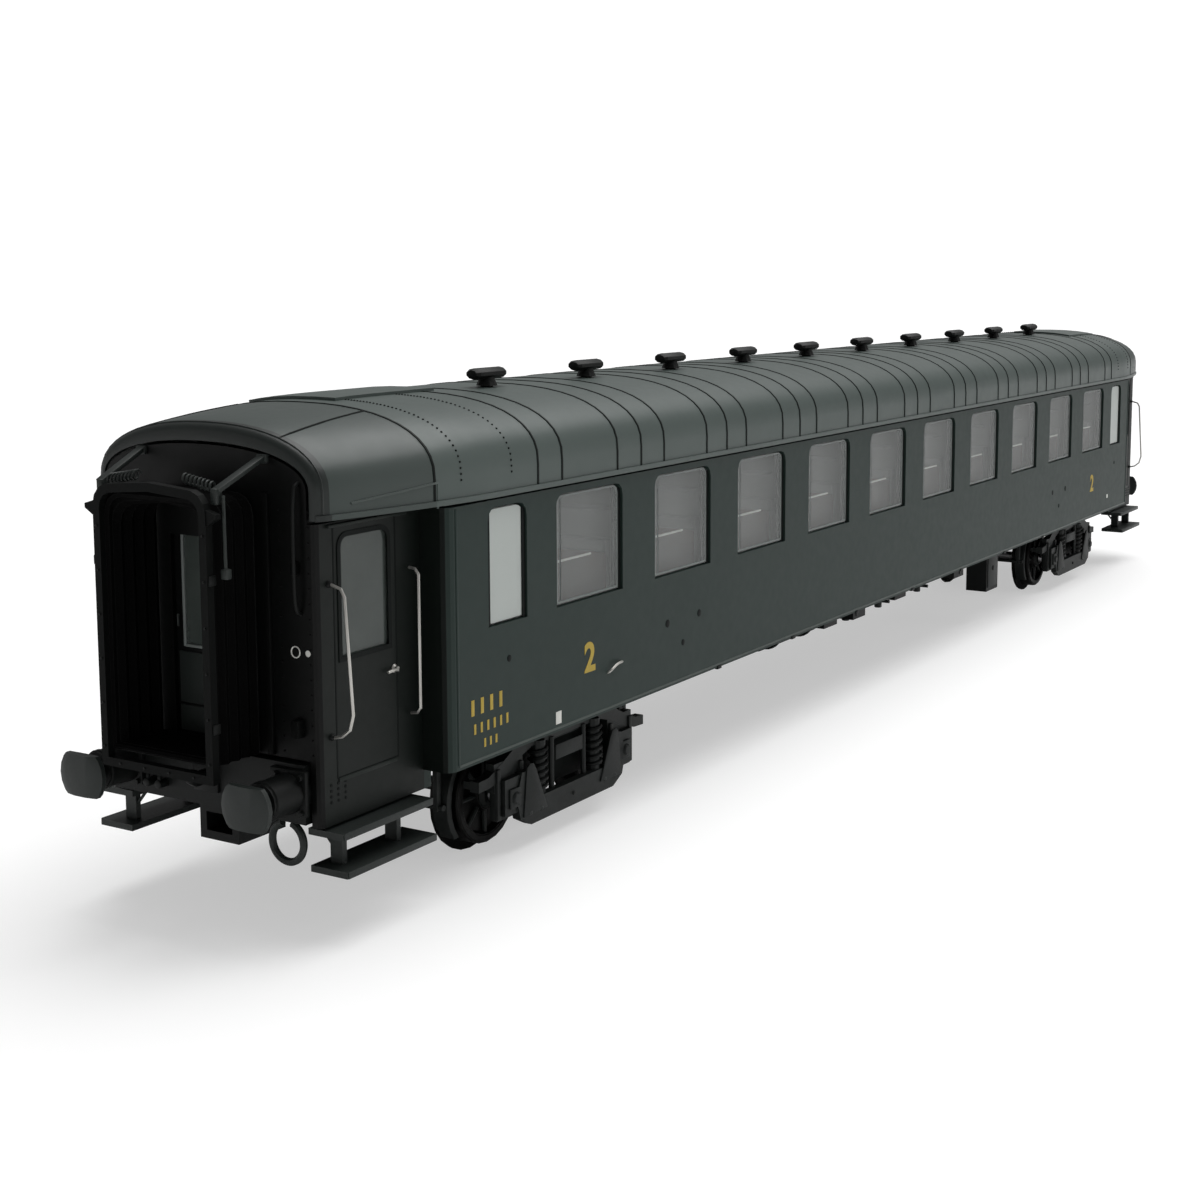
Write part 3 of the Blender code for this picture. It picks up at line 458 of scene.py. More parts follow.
RUBBER = Finish("bellows_black", (0.0009, 0.0009, 0.0009), (0.002, 0.002, 0.002), 0.8, wear_and_highlight=0.02, gloss=0.05)
TREAD = Finish(
    "blackened_wheel", (0.006, 0.006, 0.006), (0.016, 0.015, 0.014), 0.45, 0.8, wear_and_highlight=0.06, gloss=0.2,
)
STEEL = Finish("turned_steel", (0.42, 0.42, 0.43), (0.30, 0.29, 0.28), 0.34, 1.0, wear_and_highlight=0.0)
WIRE = Finish("rail_wire", (0.50, 0.49, 0.46), (0.34, 0.33, 0.31), 0.36, 0.85, wear_and_highlight=0.0)
YELLOW = Finish("printed_yellow", (0.42, 0.30, 0.045), (0.32, 0.23, 0.035), 0.6, wear_and_highlight=0.0, scale=900.0)
WHITE = Finish("printed_white", (0.66, 0.66, 0.62), (0.52, 0.52, 0.49), 0.55, wear_and_highlight=0.0, scale=900.0)
# A paler green for a painted highlight on the sill's lit edge.
SILL = Finish("sill_highlight", (0.060, 0.074, 0.067), (0.042, 0.052, 0.047), 0.5, wear_and_highlight=0.0, scale=500.0)
PALE = Finish("pale_moulding", (0.52, 0.51, 0.49), (0.44, 0.44, 0.43), 0.6, scale=200.0, wear_and_highlight=0.0)
SEAT = Finish("seat_rust", (0.36, 0.20, 0.17), (0.42, 0.27, 0.23), 0.7, scale=300.0, wear_and_highlight=0.0)
TRIM = Finish("window_frame_grey", (0.15, 0.165, 0.16), (0.20, 0.22, 0.21), 0.45, scale=300.0, wear_and_highlight=0.0)
CLEAR = Glazing(
    "clear_glazing", (0.28, 0.295, 0.29), (0.33, 0.345, 0.34), 0.14, bump=0.0, scale=45.0, wear_and_highlight=0.0,
    alpha=0.36, gloss=0.5,
)
FROSTED = Glazing(
    "frosted_glazing", (0.43, 0.46, 0.44), (0.37, 0.40, 0.385), 0.4, bump=0.0, scale=60.0, wear_and_highlight=0.0,
    alpha=0.97,
)
DOOR_CLEAR = Glazing(
    "door_glazing", (0.052, 0.062, 0.057), (0.072, 0.083, 0.077), 0.2, bump=0.0, wear_and_highlight=0.0, alpha=0.9,
)


# ---------------------------------------------------------------- tools of the bench


def clear_selection() -> None:
    """Deselect everything."""
    bpy.ops.object.select_all(action="DESELECT")


def pick(piece: Shape) -> Shape:
    """Make one piece the only selected and active one."""
    clear_selection()
    piece.select_set(True)
    bpy.context.view_layer.objects.active = piece
    return piece


def settle(name: str) -> Shape:
    """Name the active piece and bring its place into its mesh."""
    piece = bpy.context.view_layer.objects.active
    pick(piece)
    bpy.ops.object.transform_apply(location=True, rotation=True, scale=True)
    piece.name = name
    piece.data.name = name
    return piece


def ease(piece: Shape, width: float, segments: int = 2) -> Shape:
    """Round a piece's sharp edges.

    Args:
        piece: the piece, in place.
        width: the rounding, in metres.
        segments: steps in the rounding.

    Returns:
        The same piece.
    """
    pick(piece)
    bevel = piece.modifiers.new("ease", "BEVEL")
    bevel.width = width
    bevel.segments = segments
    bevel.limit_method = "ANGLE"
    bevel.angle_limit = math.radians(35)
    bpy.ops.object.modifier_apply(modifier=bevel.name)
    return piece


def block(name: str, low: Point, high: Point, soft: float = 0.06) -> Shape:
    """Make a block with eased edges.

    Args:
        name: the piece's name.
        low: its low corner, in millimetres.
        high: its high corner.
        soft: rounding of the edges.

    Returns:
        The block.
    """
    low, high = Vector(low) * MM, Vector(high) * MM
    clear_selection()
    bpy.ops.mesh.primitive_cube_add(size=1.0, location=(low + high) / 2)
    bpy.context.view_layer.objects.active.scale = [abs(v) for v in high - low]
    return ease(settle(name), soft * MM)


def rod(name: str, start: Point, end: Point, radius: float, sides: int = 14, soft: float = 0.0) -> Shape:
    """Make a round bar, its ends eased when soft is given.

    Args:
        name: the piece's name.
        start: middle of one end, in millimetres.
        end: middle of the other end.
        radius: its radius.
        sides: faces round it.
        soft: rounding of the ends.

    Returns:
        The bar.
    """
    start, end = Vector(start) * MM, Vector(end) * MM
    turn = (end - start).to_track_quat("Z", "Y").to_euler()
    clear_selection()
    bpy.ops.mesh.primitive_cylinder_add(
        vertices=sides, radius=radius * MM, depth=(end - start).length, location=(start + end) / 2,
        rotation=turn,
    )
    piece = settle(name)
    return ease(piece, soft * MM) if soft else piece


def outline_piece(name: str, points: Iterable[Point], edges: Optional[list] = None) -> Shape:
    """Lay out points as one face, or as a line of edges.

    Args:
        name: the piece's name.
        points: the corners, in millimetres.
        edges: pairs of corners to join, or None for one face.

    Returns:
        The flat piece, selected.
    """
    points = [Vector(p) * MM for p in points]
    mesh = bpy.data.meshes.new(name)
    if edges is None:
        mesh.from_pydata(points, [], [list(range(len(points)))])
    else:
        mesh.from_pydata(points, edges, [])
    piece = bpy.data.objects.new(name, mesh)
    bpy.context.scene.collection.objects.link(piece)
    return pick(piece)


def panel(name: str, points: Sequence[Point], depth: Point, soft: float = 0.0) -> Shape:
    """Extrude a flat outline by a depth vector, all in millimetres.

    Args:
        name: the piece's name.
        points: corners of the outline, in space.
        depth: the vector that the outline is drawn out along.
        soft: rounding of the edges.

    Returns:
        The closed plate.
    """
    piece = outline_piece(name, points)
    bpy.ops.object.mode_set(mode="EDIT")
    bpy.ops.mesh.select_all(action="SELECT")
    bpy.ops.mesh.extrude_region_move(TRANSFORM_OT_translate={"value": Vector(depth) * MM})
    bpy.ops.mesh.select_all(action="SELECT")
    bpy.ops.mesh.normals_make_consistent(inside=False)
    bpy.ops.object.mode_set(mode="OBJECT")
    return ease(piece, soft * MM) if soft else piece


def lathe(name: str, profile: Sequence[Point], foot: Point, along: Point, steps: int = 28) -> Shape:
    """Spin a (radius, height) profile about an axis, all in millimetres.

    Args:
        name: the piece's name.
        profile: points from one end of the axis to the other.
        foot: where height zero is.
        along: direction of the axis.
        steps: faces round the piece.

    Returns:
        The turned piece, closed at its poles.
    """
    piece = outline_piece(
        name, [(r, 0.0, h) for r, h in profile], [(i, i + 1) for i in range(len(profile) - 1)]
    )
    bpy.ops.object.mode_set(mode="EDIT")
    bpy.ops.mesh.select_all(action="SELECT")
    bpy.ops.mesh.spin(steps=steps, angle=math.tau, center=(0, 0, 0), axis=(0, 0, 1))
    bpy.ops.mesh.select_all(action="SELECT")
    bpy.ops.mesh.remove_doubles(threshold=2e-6)
    bpy.ops.mesh.normals_make_consistent(inside=False)
    bpy.ops.object.mode_set(mode="OBJECT")
    turn = Vector(along).to_track_quat("Z", "Y").to_matrix().to_4x4()
    piece.data.transform(Matrix.Translation(Vector(foot) * MM) @ turn)
    return piece


def bent_wire(
    name: str, points: Sequence[Point], radius: float, closed: bool = False, sides: int = 3
) -> Shape:
    """Make a round wire through points, as a mesh.

    Args:
        name: the piece's name.
        points: the wire's middle line, in millimetres.
        radius: its radius.
        closed: whether its ends meet.
        sides: how finely it is rounded.

    Returns:
        The wire.
    """
    curve = bpy.data.curves.new(name, "CURVE")
    curve.dimensions = "3D"
    curve.bevel_depth = radius * MM
    curve.bevel_resolution = sides
    curve.use_fill_caps = not closed
    spline = curve.splines.new("POLY")
    spline.points.add(len(points) - 1)
    for point, place in zip(spline.points, points):
        point.co = (*(Vector(place) * MM), 1.0)
    spline.use_cyclic_u = closed
    piece = bpy.data.objects.new(name, curve)
    bpy.context.scene.collection.objects.link(piece)
    pick(piece)
    bpy.ops.object.convert(target="MESH")
    piece = bpy.context.view_layer.objects.active
    bpy.ops.object.mode_set(mode="EDIT")
    bpy.ops.mesh.select_all(action="SELECT")
    bpy.ops.mesh.remove_doubles(threshold=1e-7)
    bpy.ops.object.mode_set(mode="OBJECT")
    return piece


def softened(points: Sequence[Point], rounds: int = 2) -> list:
    """Round the corners of an open path by cutting every corner off, again and again.

    Args:
        points: the path.
        rounds: how many times its corners are cut.

    Returns:
        The smoother path, with the same ends.
    """
    path = [Vector(p) for p in points]
    for _ in range(rounds):
        inner = []
        for a, b in zip(path, path[1:]):
            inner += [a.lerp(b, 0.25), a.lerp(b, 0.75)]
        path = [path[0]] + inner + [path[-1]]
    return path


def repeat(piece: Shape, moves: Sequence[Matrix], name: str) -> Shape:
    """Copy a piece's mesh to each move, joined as one new piece, and drop the original.

    Args:
        piece: what is copied.
        moves: where the copies go. A mirroring move has its faces turned round again.
        name: the new piece's name.

    Returns:
        The new piece.
    """
    joined = bmesh.new()
    for move in moves:
        part = bmesh.new()
        part.from_mesh(piece.data)
        part.transform(move)
        if move.determinant() < 0:
            bmesh.ops.reverse_faces(part, faces=part.faces)
        copy = bpy.data.meshes.new(name)
        part.to_mesh(copy)
        part.free()
        joined.from_mesh(copy)
        bpy.data.meshes.remove(copy)
    mesh = bpy.data.meshes.new(name)
    joined.to_mesh(mesh)
    joined.free()
    bpy.data.objects.remove(piece, do_unlink=True)
    made = bpy.data.objects.new(name, mesh)
    bpy.context.scene.collection.objects.link(made)
    return made


def merge(name: str, pieces: Sequence[Shape]) -> Shape:
    """Join pieces into one.

    Args:
        name: the joined piece's name.
        pieces: what is joined, the first of which is kept.

    Returns:
        The joined piece.
    """
    clear_selection()
    for piece in pieces:
        piece.select_set(True)
    bpy.context.view_layer.objects.active = pieces[0]
    if len(pieces) > 1:
        bpy.ops.object.join()
    pieces[0].name = name
    return pieces[0]


def at(x: float, y: float, z: float) -> Matrix:
    """A move by millimetres."""
    return Matrix.Translation(Vector((x, y, z)) * MM)


def hand_over(
    piece: Shape, finish: Finish, body: str = "coach", angle: float = 35
) -> Shape:
    """Shade, dress and hang a finished piece on its body.

    Args:
        piece: the piece, in place in its mesh.
        finish: what it is made of.
        body: the body it rides on.
        angle: edges sharper than this stay sharp.

    Returns:
        The piece.
    """
    pick(piece)
    bpy.ops.object.shade_smooth_by_angle(angle=math.radians(angle))
    piece.data.materials.clear()
    piece.data.materials.append(finish.material())
    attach(piece, body)
    LOG.info("%s rides on %s", piece.name, body)
    return piece


def both_ends(piece: Shape, name: str) -> Shape:
    """Repeat a front or left fitting after half a turn about Z."""
    return repeat(piece, [Matrix.Identity(4), HALF_TURN], name)


def both_sides_and_ends(piece: Shape, name: str) -> Shape:
    """Repeat a front left fitting at all four corners."""
    mirror = Matrix.Scale(-1.0, 4, (0, 1, 0))
    return repeat(piece, [Matrix.Identity(4), mirror, HALF_TURN, HALF_TURN @ mirror], name)


# ---------------------------------------------------------------- carried-over nodes


class CarriedNodes:
    """Gives every node of the frame its finish, and smooths the round ones."""

    rounded = ("roof", "wheel", "axle", "buffer_head", "handrail", "underframe")

    finishes = (
        ("body_shell", GREEN), ("roof_vent", BLACK), ("roof", ROOF), ("underframe", BLACK),
        ("interior", PALE), ("ballast", STEEL), ("glazing", CLEAR), ("door_glass", DOOR_CLEAR),
        ("bellows", RUBBER), ("gangway_frame", GANGWAY), ("buffer_head", STEP_GREY), ("drawbar", BLACK),
        ("bogie_frame", FRAME), ("axle", STEEL), ("wheel", TREAD), ("steps", STEP_GREY),
        ("handrail", WIRE), ("brake_hose", BLACK),
    )

    def __init__(self, bodies: dict) -> None:
        """Keep which nodes each body holds."""
        self.bodies = bodies

    def dress(self, nodes: dict) -> None:
        """Put each node's finish in its material slots.

        Args:
            nodes: node name to object, as the frame gives them.
        """
        for name, node in nodes.items():
            finish = next(f for start, f in self.finishes if name.startswith(start))
            if not node.material_slots:
                node.data.materials.append(finish.material())
            for slot in node.material_slots:
                slot.material = finish.material()
            LOG.info("%s dressed in %s", name, finish.name)

    def round_off(self, nodes: dict) -> None:
        """Let smooth copies stand in for the round nodes, once the other pieces have used them.

        Args:
            nodes: node name to object, as the frame gives them.
        """
        owners = {node: body for body, held in self.bodies.items() for node in held}
        for name, node in nodes.items():
            if name.startswith(self.rounded):
                self.smooth(name, node, owners[name])

    def smooth(self, name: str, node: Shape, body: str) -> None:
        """Stand a smoothly shaded copy in for a round node, of the same shape.

        Args:
            name: the node's name.
            node: the node.
            body: the body that it belongs to.
        """
        piece = bpy.data.objects.new(name + "_smooth", node.data.copy())
        bpy.context.scene.collection.objects.link(piece)
        pick(piece)
        bpy.ops.mesh.customdata_custom_splitnormals_clear()
        bpy.ops.object.mode_set(mode="EDIT")
        bpy.ops.mesh.select_all(action="SELECT")
        bpy.ops.mesh.remove_doubles(threshold=1e-6)
        bpy.ops.mesh.tris_convert_to_quads()
        bpy.ops.object.mode_set(mode="OBJECT")
        bpy.ops.object.shade_smooth_by_angle(angle=math.radians(32))
        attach(piece, body)
        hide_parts(name)


# ---------------------------------------------------------------- roof


@dataclass
class RoofSkin:
    """Seams, rivets, gutter and hatch that follow the roof's own surface.

    Attributes:
        roof: the roof node.
        bay: distance between compartments, in millimetres.
        seam_width: width of a sheet joint.
        seam_height: how far it stands off the roof.
        gutter: height of the strip along the eaves.
        hatch_x: where a hatch starts and ends, from the coach's middle.
        hatch_y: the front hatch's two sides.
        rivet_rows: places of the rows of rivets, from the coach's middle.
        end_seam: the outermost cross seam.
        drip_z: height at which the drip strips start.
    """

    roof: Shape
    bay: float = 19.6
    seam_width: float = 0.24
    seam_height: float = 0.07
    gutter: float = 0.5
    hatch_x: tuple = (96.2, 111.6)
    hatch_y: tuple = (-2.4, 8.7)
    rivet_rows: tuple = (102.7, 110.4)
    end_seam: float = 113.9
    drip_z: float = 40.5

    def skin(self, name: str) -> Shape:
        """Copy the roof's outer surface.

        Args:
            name: the copy's name.

        Returns:
            The open surface, with its doubles merged.
        """
        made = bpy.data.objects.new(name, self.roof.data.copy())
        bpy.context.scene.collection.objects.link(made)
        made.data.materials.clear()
        surface = bmesh.new()
        surface.from_mesh(made.data)
        bmesh.ops.remove_doubles(surface, verts=surface.verts, dist=2e-6)
        middle = Vector((0, 0, 30 * MM))
        inner = []
        for face in surface.faces:
            centre = face.calc_center_median()
            out = Vector((0.0, centre.y, centre.z - middle.z))
            if face.normal.dot(out) <= 0.0005 or abs(face.normal.x) > 0.9:
                inner.append(face)
        bmesh.ops.delete(surface, geom=inner, context="FACES")
        surface.to_mesh(made.data)
        surface.free()
        return made

    def strips(
        self, name: str, keep: Callable[[Vector], bool], cuts: Sequence[tuple], height: float
    ) -> Shape:
        """Cut the skin along planes, keep some of it and give it thickness.

        Args:
            name: the piece's name.
            keep: says from a face's middle, in millimetres, whether it stays.
            cuts: (point, normal) of each cutting plane, in millimetres.
            height: thickness, outwards, in millimetres.

        Returns:
            The thickened strips.
        """
        piece = pick(self.skin(name))
        bpy.ops.object.mode_set(mode="EDIT")
        for point, normal in cuts:
            bpy.ops.mesh.select_all(action="SELECT")
            bpy.ops.mesh.bisect(plane_co=Vector(point) * MM, plane_no=normal)
        bpy.ops.object.mode_set(mode="OBJECT")
        surface = bmesh.new()
        surface.from_mesh(piece.data)
        drop = [f for f in surface.faces if not keep(f.calc_center_median() / MM)]
        bmesh.ops.delete(surface, geom=drop, context="FACES")
        surface.to_mesh(piece.data)
        surface.free()
        pick(piece)
        solid = piece.modifiers.new("sheet", "SOLIDIFY")
        solid.thickness = height * MM
        solid.offset = 1.0
        bpy.ops.object.modifier_apply(modifier=solid.name)
        return piece

    def seam_places(self) -> list:
        """Where the sheet joints cross the roof, in millimetres from the middle."""
        places = [self.end_seam, 98.2, 93.9]
        places += [-x for x in places]
        quarter = self.bay / 4
        for bay in range(-4, 5):
            places += [bay * self.bay + step for step in (-quarter, 0.0, quarter)]
        return sorted(places)

    def spot(self, x: float, degrees: float) -> tuple:
        """Find the roof's surface at a distance along the coach and an angle from upright.

        Args:
            x: place along the coach, in millimetres.
            degrees: angle about the coach's long axis, from upright towards +Y.

        Returns:
            The point in millimetres and the outward normal.
        """
        angle = math.radians(degrees)
        out = Vector((0.0, math.sin(angle), math.cos(angle)))
        start = Vector((x, 0.0, 37.5)) * MM + out * 0.05
        hit, place, normal, _ = self.roof.ray_cast(start, -out)
        return (place / MM if hit else Vector((x, 0, 47))), (normal if hit else out)

    def above(self, x: float, y: float) -> Vector:
        """The roof's surface straight above a place, all in millimetres."""
        hit, place, _, _ = self.roof.ray_cast(Vector((x, y, 60)) * MM, Vector((0, 0, -1)))
        return place / MM if hit else Vector((x, y, 44))

    def beside(self, x: float, side: int, z: float) -> Vector:
        """The roof's surface level with a place, seen from one side, all in millimetres."""
        hit, place, _, _ = self.roof.ray_cast(Vector((x, side * 40, z)) * MM, Vector((0, -side, 0)))
        return place / MM if hit else Vector((x, side * 16, z))

    def build(self) -> None:
        """Make the roof's details."""
        half = self.seam_width / 2
        places = self.seam_places()
        cuts = [((x + side, 0, 0), (1, 0, 0)) for x in places for side in (-half, half)]
        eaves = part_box("roof")[0][2] / MM + self.gutter
        cuts.append(((0, 0, eaves), (0, 0, 1)))
        seams = self.strips(
            "roof_seams",
            lambda c: c.z > eaves and any(abs(c.x - x) < half for x in places),
            cuts, self.seam_height,
        )
        hand_over(seams, SEAM)
        gutter = self.strips("roof_gutter", lambda c: c.z < eaves, [((0, 0, eaves), (0, 0, 1))], 0.24)
        hand_over(gutter, ROOF)
        near, far = self.hatch_x
        left, right = self.hatch_y
        cuts = [((x, 0, 0), (1, 0, 0)) for x in (-far, -near, near, far)]
        cuts += [((0, y, 0), (0, 1, 0)) for y in (-right, left, -left, right)]
        hatch = self.strips("roof_hatches", lambda c: c.z > 40 and self.on_hatch(c), cuts, 0.3)
        hand_over(hatch, ROOF)
        self.rivets()
        self.end_ribs()
        self.drip_strips()
        self.vent_collars()

    def on_hatch(self, place: Vector, margin: float = 0.0) -> bool:
        """Say whether a place, in millimetres, lies on a hatch or within a margin of it."""
        (near, far), (left, right) = self.hatch_x, self.hatch_y
        across = place.y * (1 if place.x < 0 else -1)
        return near - margin < abs(place.x) < far + margin and left - margin < across < right + margin

    def rivets(self) -> None:
        """Set rows of rivets across the roof beside the entrances."""
        clear_selection()
        bpy.ops.mesh.primitive_ico_sphere_add(subdivisions=1, radius=0.13 * MM)
        rivet = settle("rivet")
        moves = []
        degrees = 1.9
        for x in sorted(sign * row for sign in (-1, 1) for row in self.rivet_rows):
            for step in range(-42, 43):
                place, _ = self.spot(x, step * degrees)
                if place.z > self.drip_z - 0.1 and not self.on_hatch(place, 0.2):
                    moves.append(at(*place))
        hand_over(repeat(rivet, moves, "roof_rivets"), SEAM, angle=80)

    def end_ribs(self) -> None:
        """Lay the raised joints that run from the roof's ends to its first cross seam."""
        ribs = []
        for side in (-1, 1):
            line = [self.above(-126.4 + 12.4 * i / 8, side * (8.7 - 0.1 * i)) for i in range(9)]
            ribs.append(bent_wire("end_rib", line, 0.12, sides=1))
        hand_over(both_ends(merge("end_ribs", ribs), "roof_end_ribs"), SEAM)

    def drip_strips(self) -> None:
        """Lay the strips that sweep down over the entrances, and the lip round the roof's end."""
        band = [self.spot(-126.35, angle)[0] for angle in range(-84, 85, 4)]
        start, top = -113.5, self.drip_z
        sweeps = []
        for side in (-1, 1):
            sweep = [self.beside(start - 10.0 * i / 10, side, top - 0.09 * i) for i in range(11)]
            joint = [self.beside(start, side, top - 0.3 * i) for i in range(9)]
            sweeps += [bent_wire("sweep", sweep, 0.13, sides=1), bent_wire("joint", joint, 0.1, sides=1)]
        hand_over(both_ends(merge("sweeps", sweeps), "roof_drip_strips"), ROOF)
        lip = bent_wire("lip", band, 0.11, sides=1)
        hand_over(both_ends(lip, "roof_end_lip"), ROOF)

    def vent_collars(self) -> None:
        """Cap each vent with a turned collar."""
        caps = []
        for number in range(10):
            low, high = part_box("roof_vent_%d" % (number + 1))
            x, y = (low[0] + high[0]) / 2 / MM, (low[1] + high[1]) / 2 / MM
            profile = [(0, 48.45), (0.85, 48.4), (0.95, 48.0), (0.7, 47.7), (0.62, 47.2)]
            caps.append(lathe("collar", profile, (x, y, 0), (0, 0, 1), 14))
        hand_over(merge("vent_collars", caps), BLACK)


# ---------------------------------------------------------------- body sides


def arched(low: float, high: float, bottom: float, top: float, radius: float, steps: int = 4) -> list:
    """Draw an outline with square lower corners and rounded upper ones, all in millimetres.

    Args:
        low: one side.
        high: the other side.
        bottom: height of the lower edge.
        top: height of the upper edge.
        radius: rounding of the upper corners.
        steps: lines in each rounding.

    Returns:
        The outline's (across, height) points.
    """
    points = [(low, bottom), (high, bottom)]
    for start, centre in ((0, high - radius), (90, low + radius)):
        for step in range(steps + 1):
            angle = math.radians(start + 90 * step / steps)
            points.append((centre + radius * math.cos(angle), top - radius + radius * math.sin(angle)))
    return points


def ring(name: str, outline: Sequence[tuple], width: float, y: float, depth: float) -> Shape:
    """Make a frame that follows an (x, z) outline on a side wall.

    Args:
        name: the piece's name.
        outline: the frame's outer line, in millimetres.
        width: the frame's width.
        y: where its back is.
        depth: how far it stands out, towards -Y.

    Returns:
        The frame.
    """
    piece = outline_piece(name, [(x, y, z) for x, z in outline])
    bpy.ops.object.mode_set(mode="EDIT")
    bpy.ops.mesh.select_all(action="SELECT")
    bpy.ops.mesh.inset(thickness=width * MM, use_boundary=True)
    bpy.ops.mesh.delete(type="FACE")
    bpy.ops.mesh.select_all(action="SELECT")
    bpy.ops.mesh.extrude_region_move(TRANSFORM_OT_translate={"value": (0, -depth * MM, 0)})
    bpy.ops.mesh.select_all(action="SELECT")
    bpy.ops.mesh.normals_make_consistent(inside=False)
    bpy.ops.object.mode_set(mode="OBJECT")
    return piece


@dataclass
class SideWall:
    """Window frames, doors, printing and small fittings of the left side, repeated on the right.

    Attributes:
        wall: distance of the main wall's face from the middle, in millimetres.
        porch: the same for the entrance's door.
        pitch: distance between windows.
        bays: number of compartments.
        reveal: distance of the recessed frames' backs from the middle.
        half: half of a wide window's width.
        narrow: place of the narrow windows, from the coach's middle.
        corner: place of the body's corner beads.
    """

    wall: float = 16.4
    porch: float = 13.1
    pitch: float = 19.6
    bays: int = 10
    reveal: float = 15.95
    half: float = 6.4
    narrow: float = 103.05
    corner: float = 111.3

    def windows(self) -> list:
        """(low x, high x) of every wide window."""
        middles = [(i - (self.bays - 1) / 2) * self.pitch for i in range(self.bays)]
        return [(m - self.half, m + self.half) for m in middles]

    def build(self) -> None:
        """Make every fitting of the side walls."""
        self.frames()
        self.printing()
        self.fittings()
        self.door()

    def frames(self) -> None:
        """Frame each window inside its reveal, paint shade on its jambs and a pale streak behind it, and
        frost the narrow ones.
        """
        rings, bars, jamb_shades = [], [], []
        back, strip = -self.reveal, 0.27
        for low, high in self.windows():
            # Dark strips at both sides of each window paint the shade on the jambs of its recess.
            for x in (low + strip, high - strip):
                jamb_shades.append(block("jamb_shade", (x - strip, -16.1, 25.7), (x + strip, back, 36.7), 0.03))
            for x in (low + 1.25, high - 1.25):
                rings.append(block("slide", (x - 0.1, -16.05, 26.2), (x + 0.1, back, 36.9), 0.03))
            line = arched(low + 0.5, high - 0.5, 25.95, 37.1, 1.0)
            rings.append(ring("frame", line, 0.2, -15.98, 0.1))
            # A short white rail behind each pane: partly a rail, partly a painted reflection streak on the
            # glass.
            bars.append(rod("bar", (low + 0.3, -15.2, 30.1), (low + 8.2, -15.2, 30.1), 0.13, 8))
        hand_over(both_ends(merge("frames", rings), "window_frames"), TRIM)
        hand_over(both_ends(merge("bars", bars), "window_reflection_bars"), WHITE)
        panes = []
        for middle in (-self.narrow, self.narrow):
            line = arched(middle - 3.05, middle + 3.05, 25.95, 37.05, 1.2)
            panes.append(panel("pane", [(x, -16.02, z) for x, z in line], (0, -0.06, 0)))
            # The narrow windows get the same painted jamb shade.
            for x in (middle - 2.95, middle + 2.95):
                jamb_shades.append(block("jamb_shade", (x - strip, -16.2, 25.75), (x + strip, back, 36.7), 0.03))
        hand_over(both_ends(merge("jamb_shades", jamb_shades), "window_jamb_shades"), SEAM)
        hand_over(both_ends(merge("panes", panes), "frosted_panes"), FROSTED)
        edges, face = [], -self.wall
        for x in (-self.corner, self.corner):
            edges.append(block("bead", (x - 0.16, face - 0.07, 13.3), (x + 0.16, face + 0.1, 37.8), 0.05))
        hand_over(both_ends(merge("beads", edges), "corner_beads"), GREEN)

    def printing(self) -> None:
        """Print the class numeral and plain lettering strokes, and lay a painted highlight along the sill.
        """
        face = -self.wall - 0.03
        strokes = []
        rows = (
            ((-109.3, 1.15), 4, 17.6, 1.55),
            ((-108.9, 0.8), 6, 15.75, 1.0),
            ((-107.3, 0.7), 3, 14.2, 0.85),
        )
        for (start, width), count, z, height in rows:
            for number in range(count):
                x = start + number * width * 1.32
                far = (x + width * 0.42, face + 0.06, z + height)
                strokes.append(block("stroke", (x, face, z), far, 0.01))
        self.numeral(-88.45, strokes, face)
        self.numeral(88.45, strokes, face)
        hand_over(both_ends(merge("strokes", strokes), "printed_marks"), YELLOW)
        white = [block("square", (-94.9, face, 13.6), (-93.9, face + 0.06, 14.9), 0.01)]
        # A paler strip along the sill: a painted highlight where its edge catches the light.
        sill = block("sill", (-111.2, face - 0.02, 13.05), (111.2, face + 0.08, 13.3), 0.04)
        hand_over(both_ends(sill, "painted_sill_highlight"), SILL)
        white.append(block("dash", (98.4, face, 15.5), (99.2, face + 0.06, 16.2), 0.01))
        hand_over(both_ends(merge("white", white), "printed_white_marks"), WHITE)

    def numeral(self, x: float, kept: list, face: float) -> None:
        """Add one class numeral, in the plain built-in letter shape.

        Args:
            x: its middle along the coach, in millimetres.
            kept: the pieces that it joins.
            face: place of the wall's face.
        """
        clear_selection()
        bpy.ops.object.text_add()
        text = bpy.context.view_layer.objects.active
        text.data.body = "2"
        text.data.size = 4.3 * MM
        text.data.offset = 0.13 * MM
        text.data.extrude = 0.02 * MM
        text.data.align_x = "CENTER"
        pick(text)
        bpy.ops.object.convert(target="MESH")
        piece = bpy.context.view_layer.objects.active
        upright = Matrix.Rotation(math.pi / 2, 4, "X")
        piece.data.transform(at(x, face + 0.02, 18.0) @ upright)
        kept.append(piece)

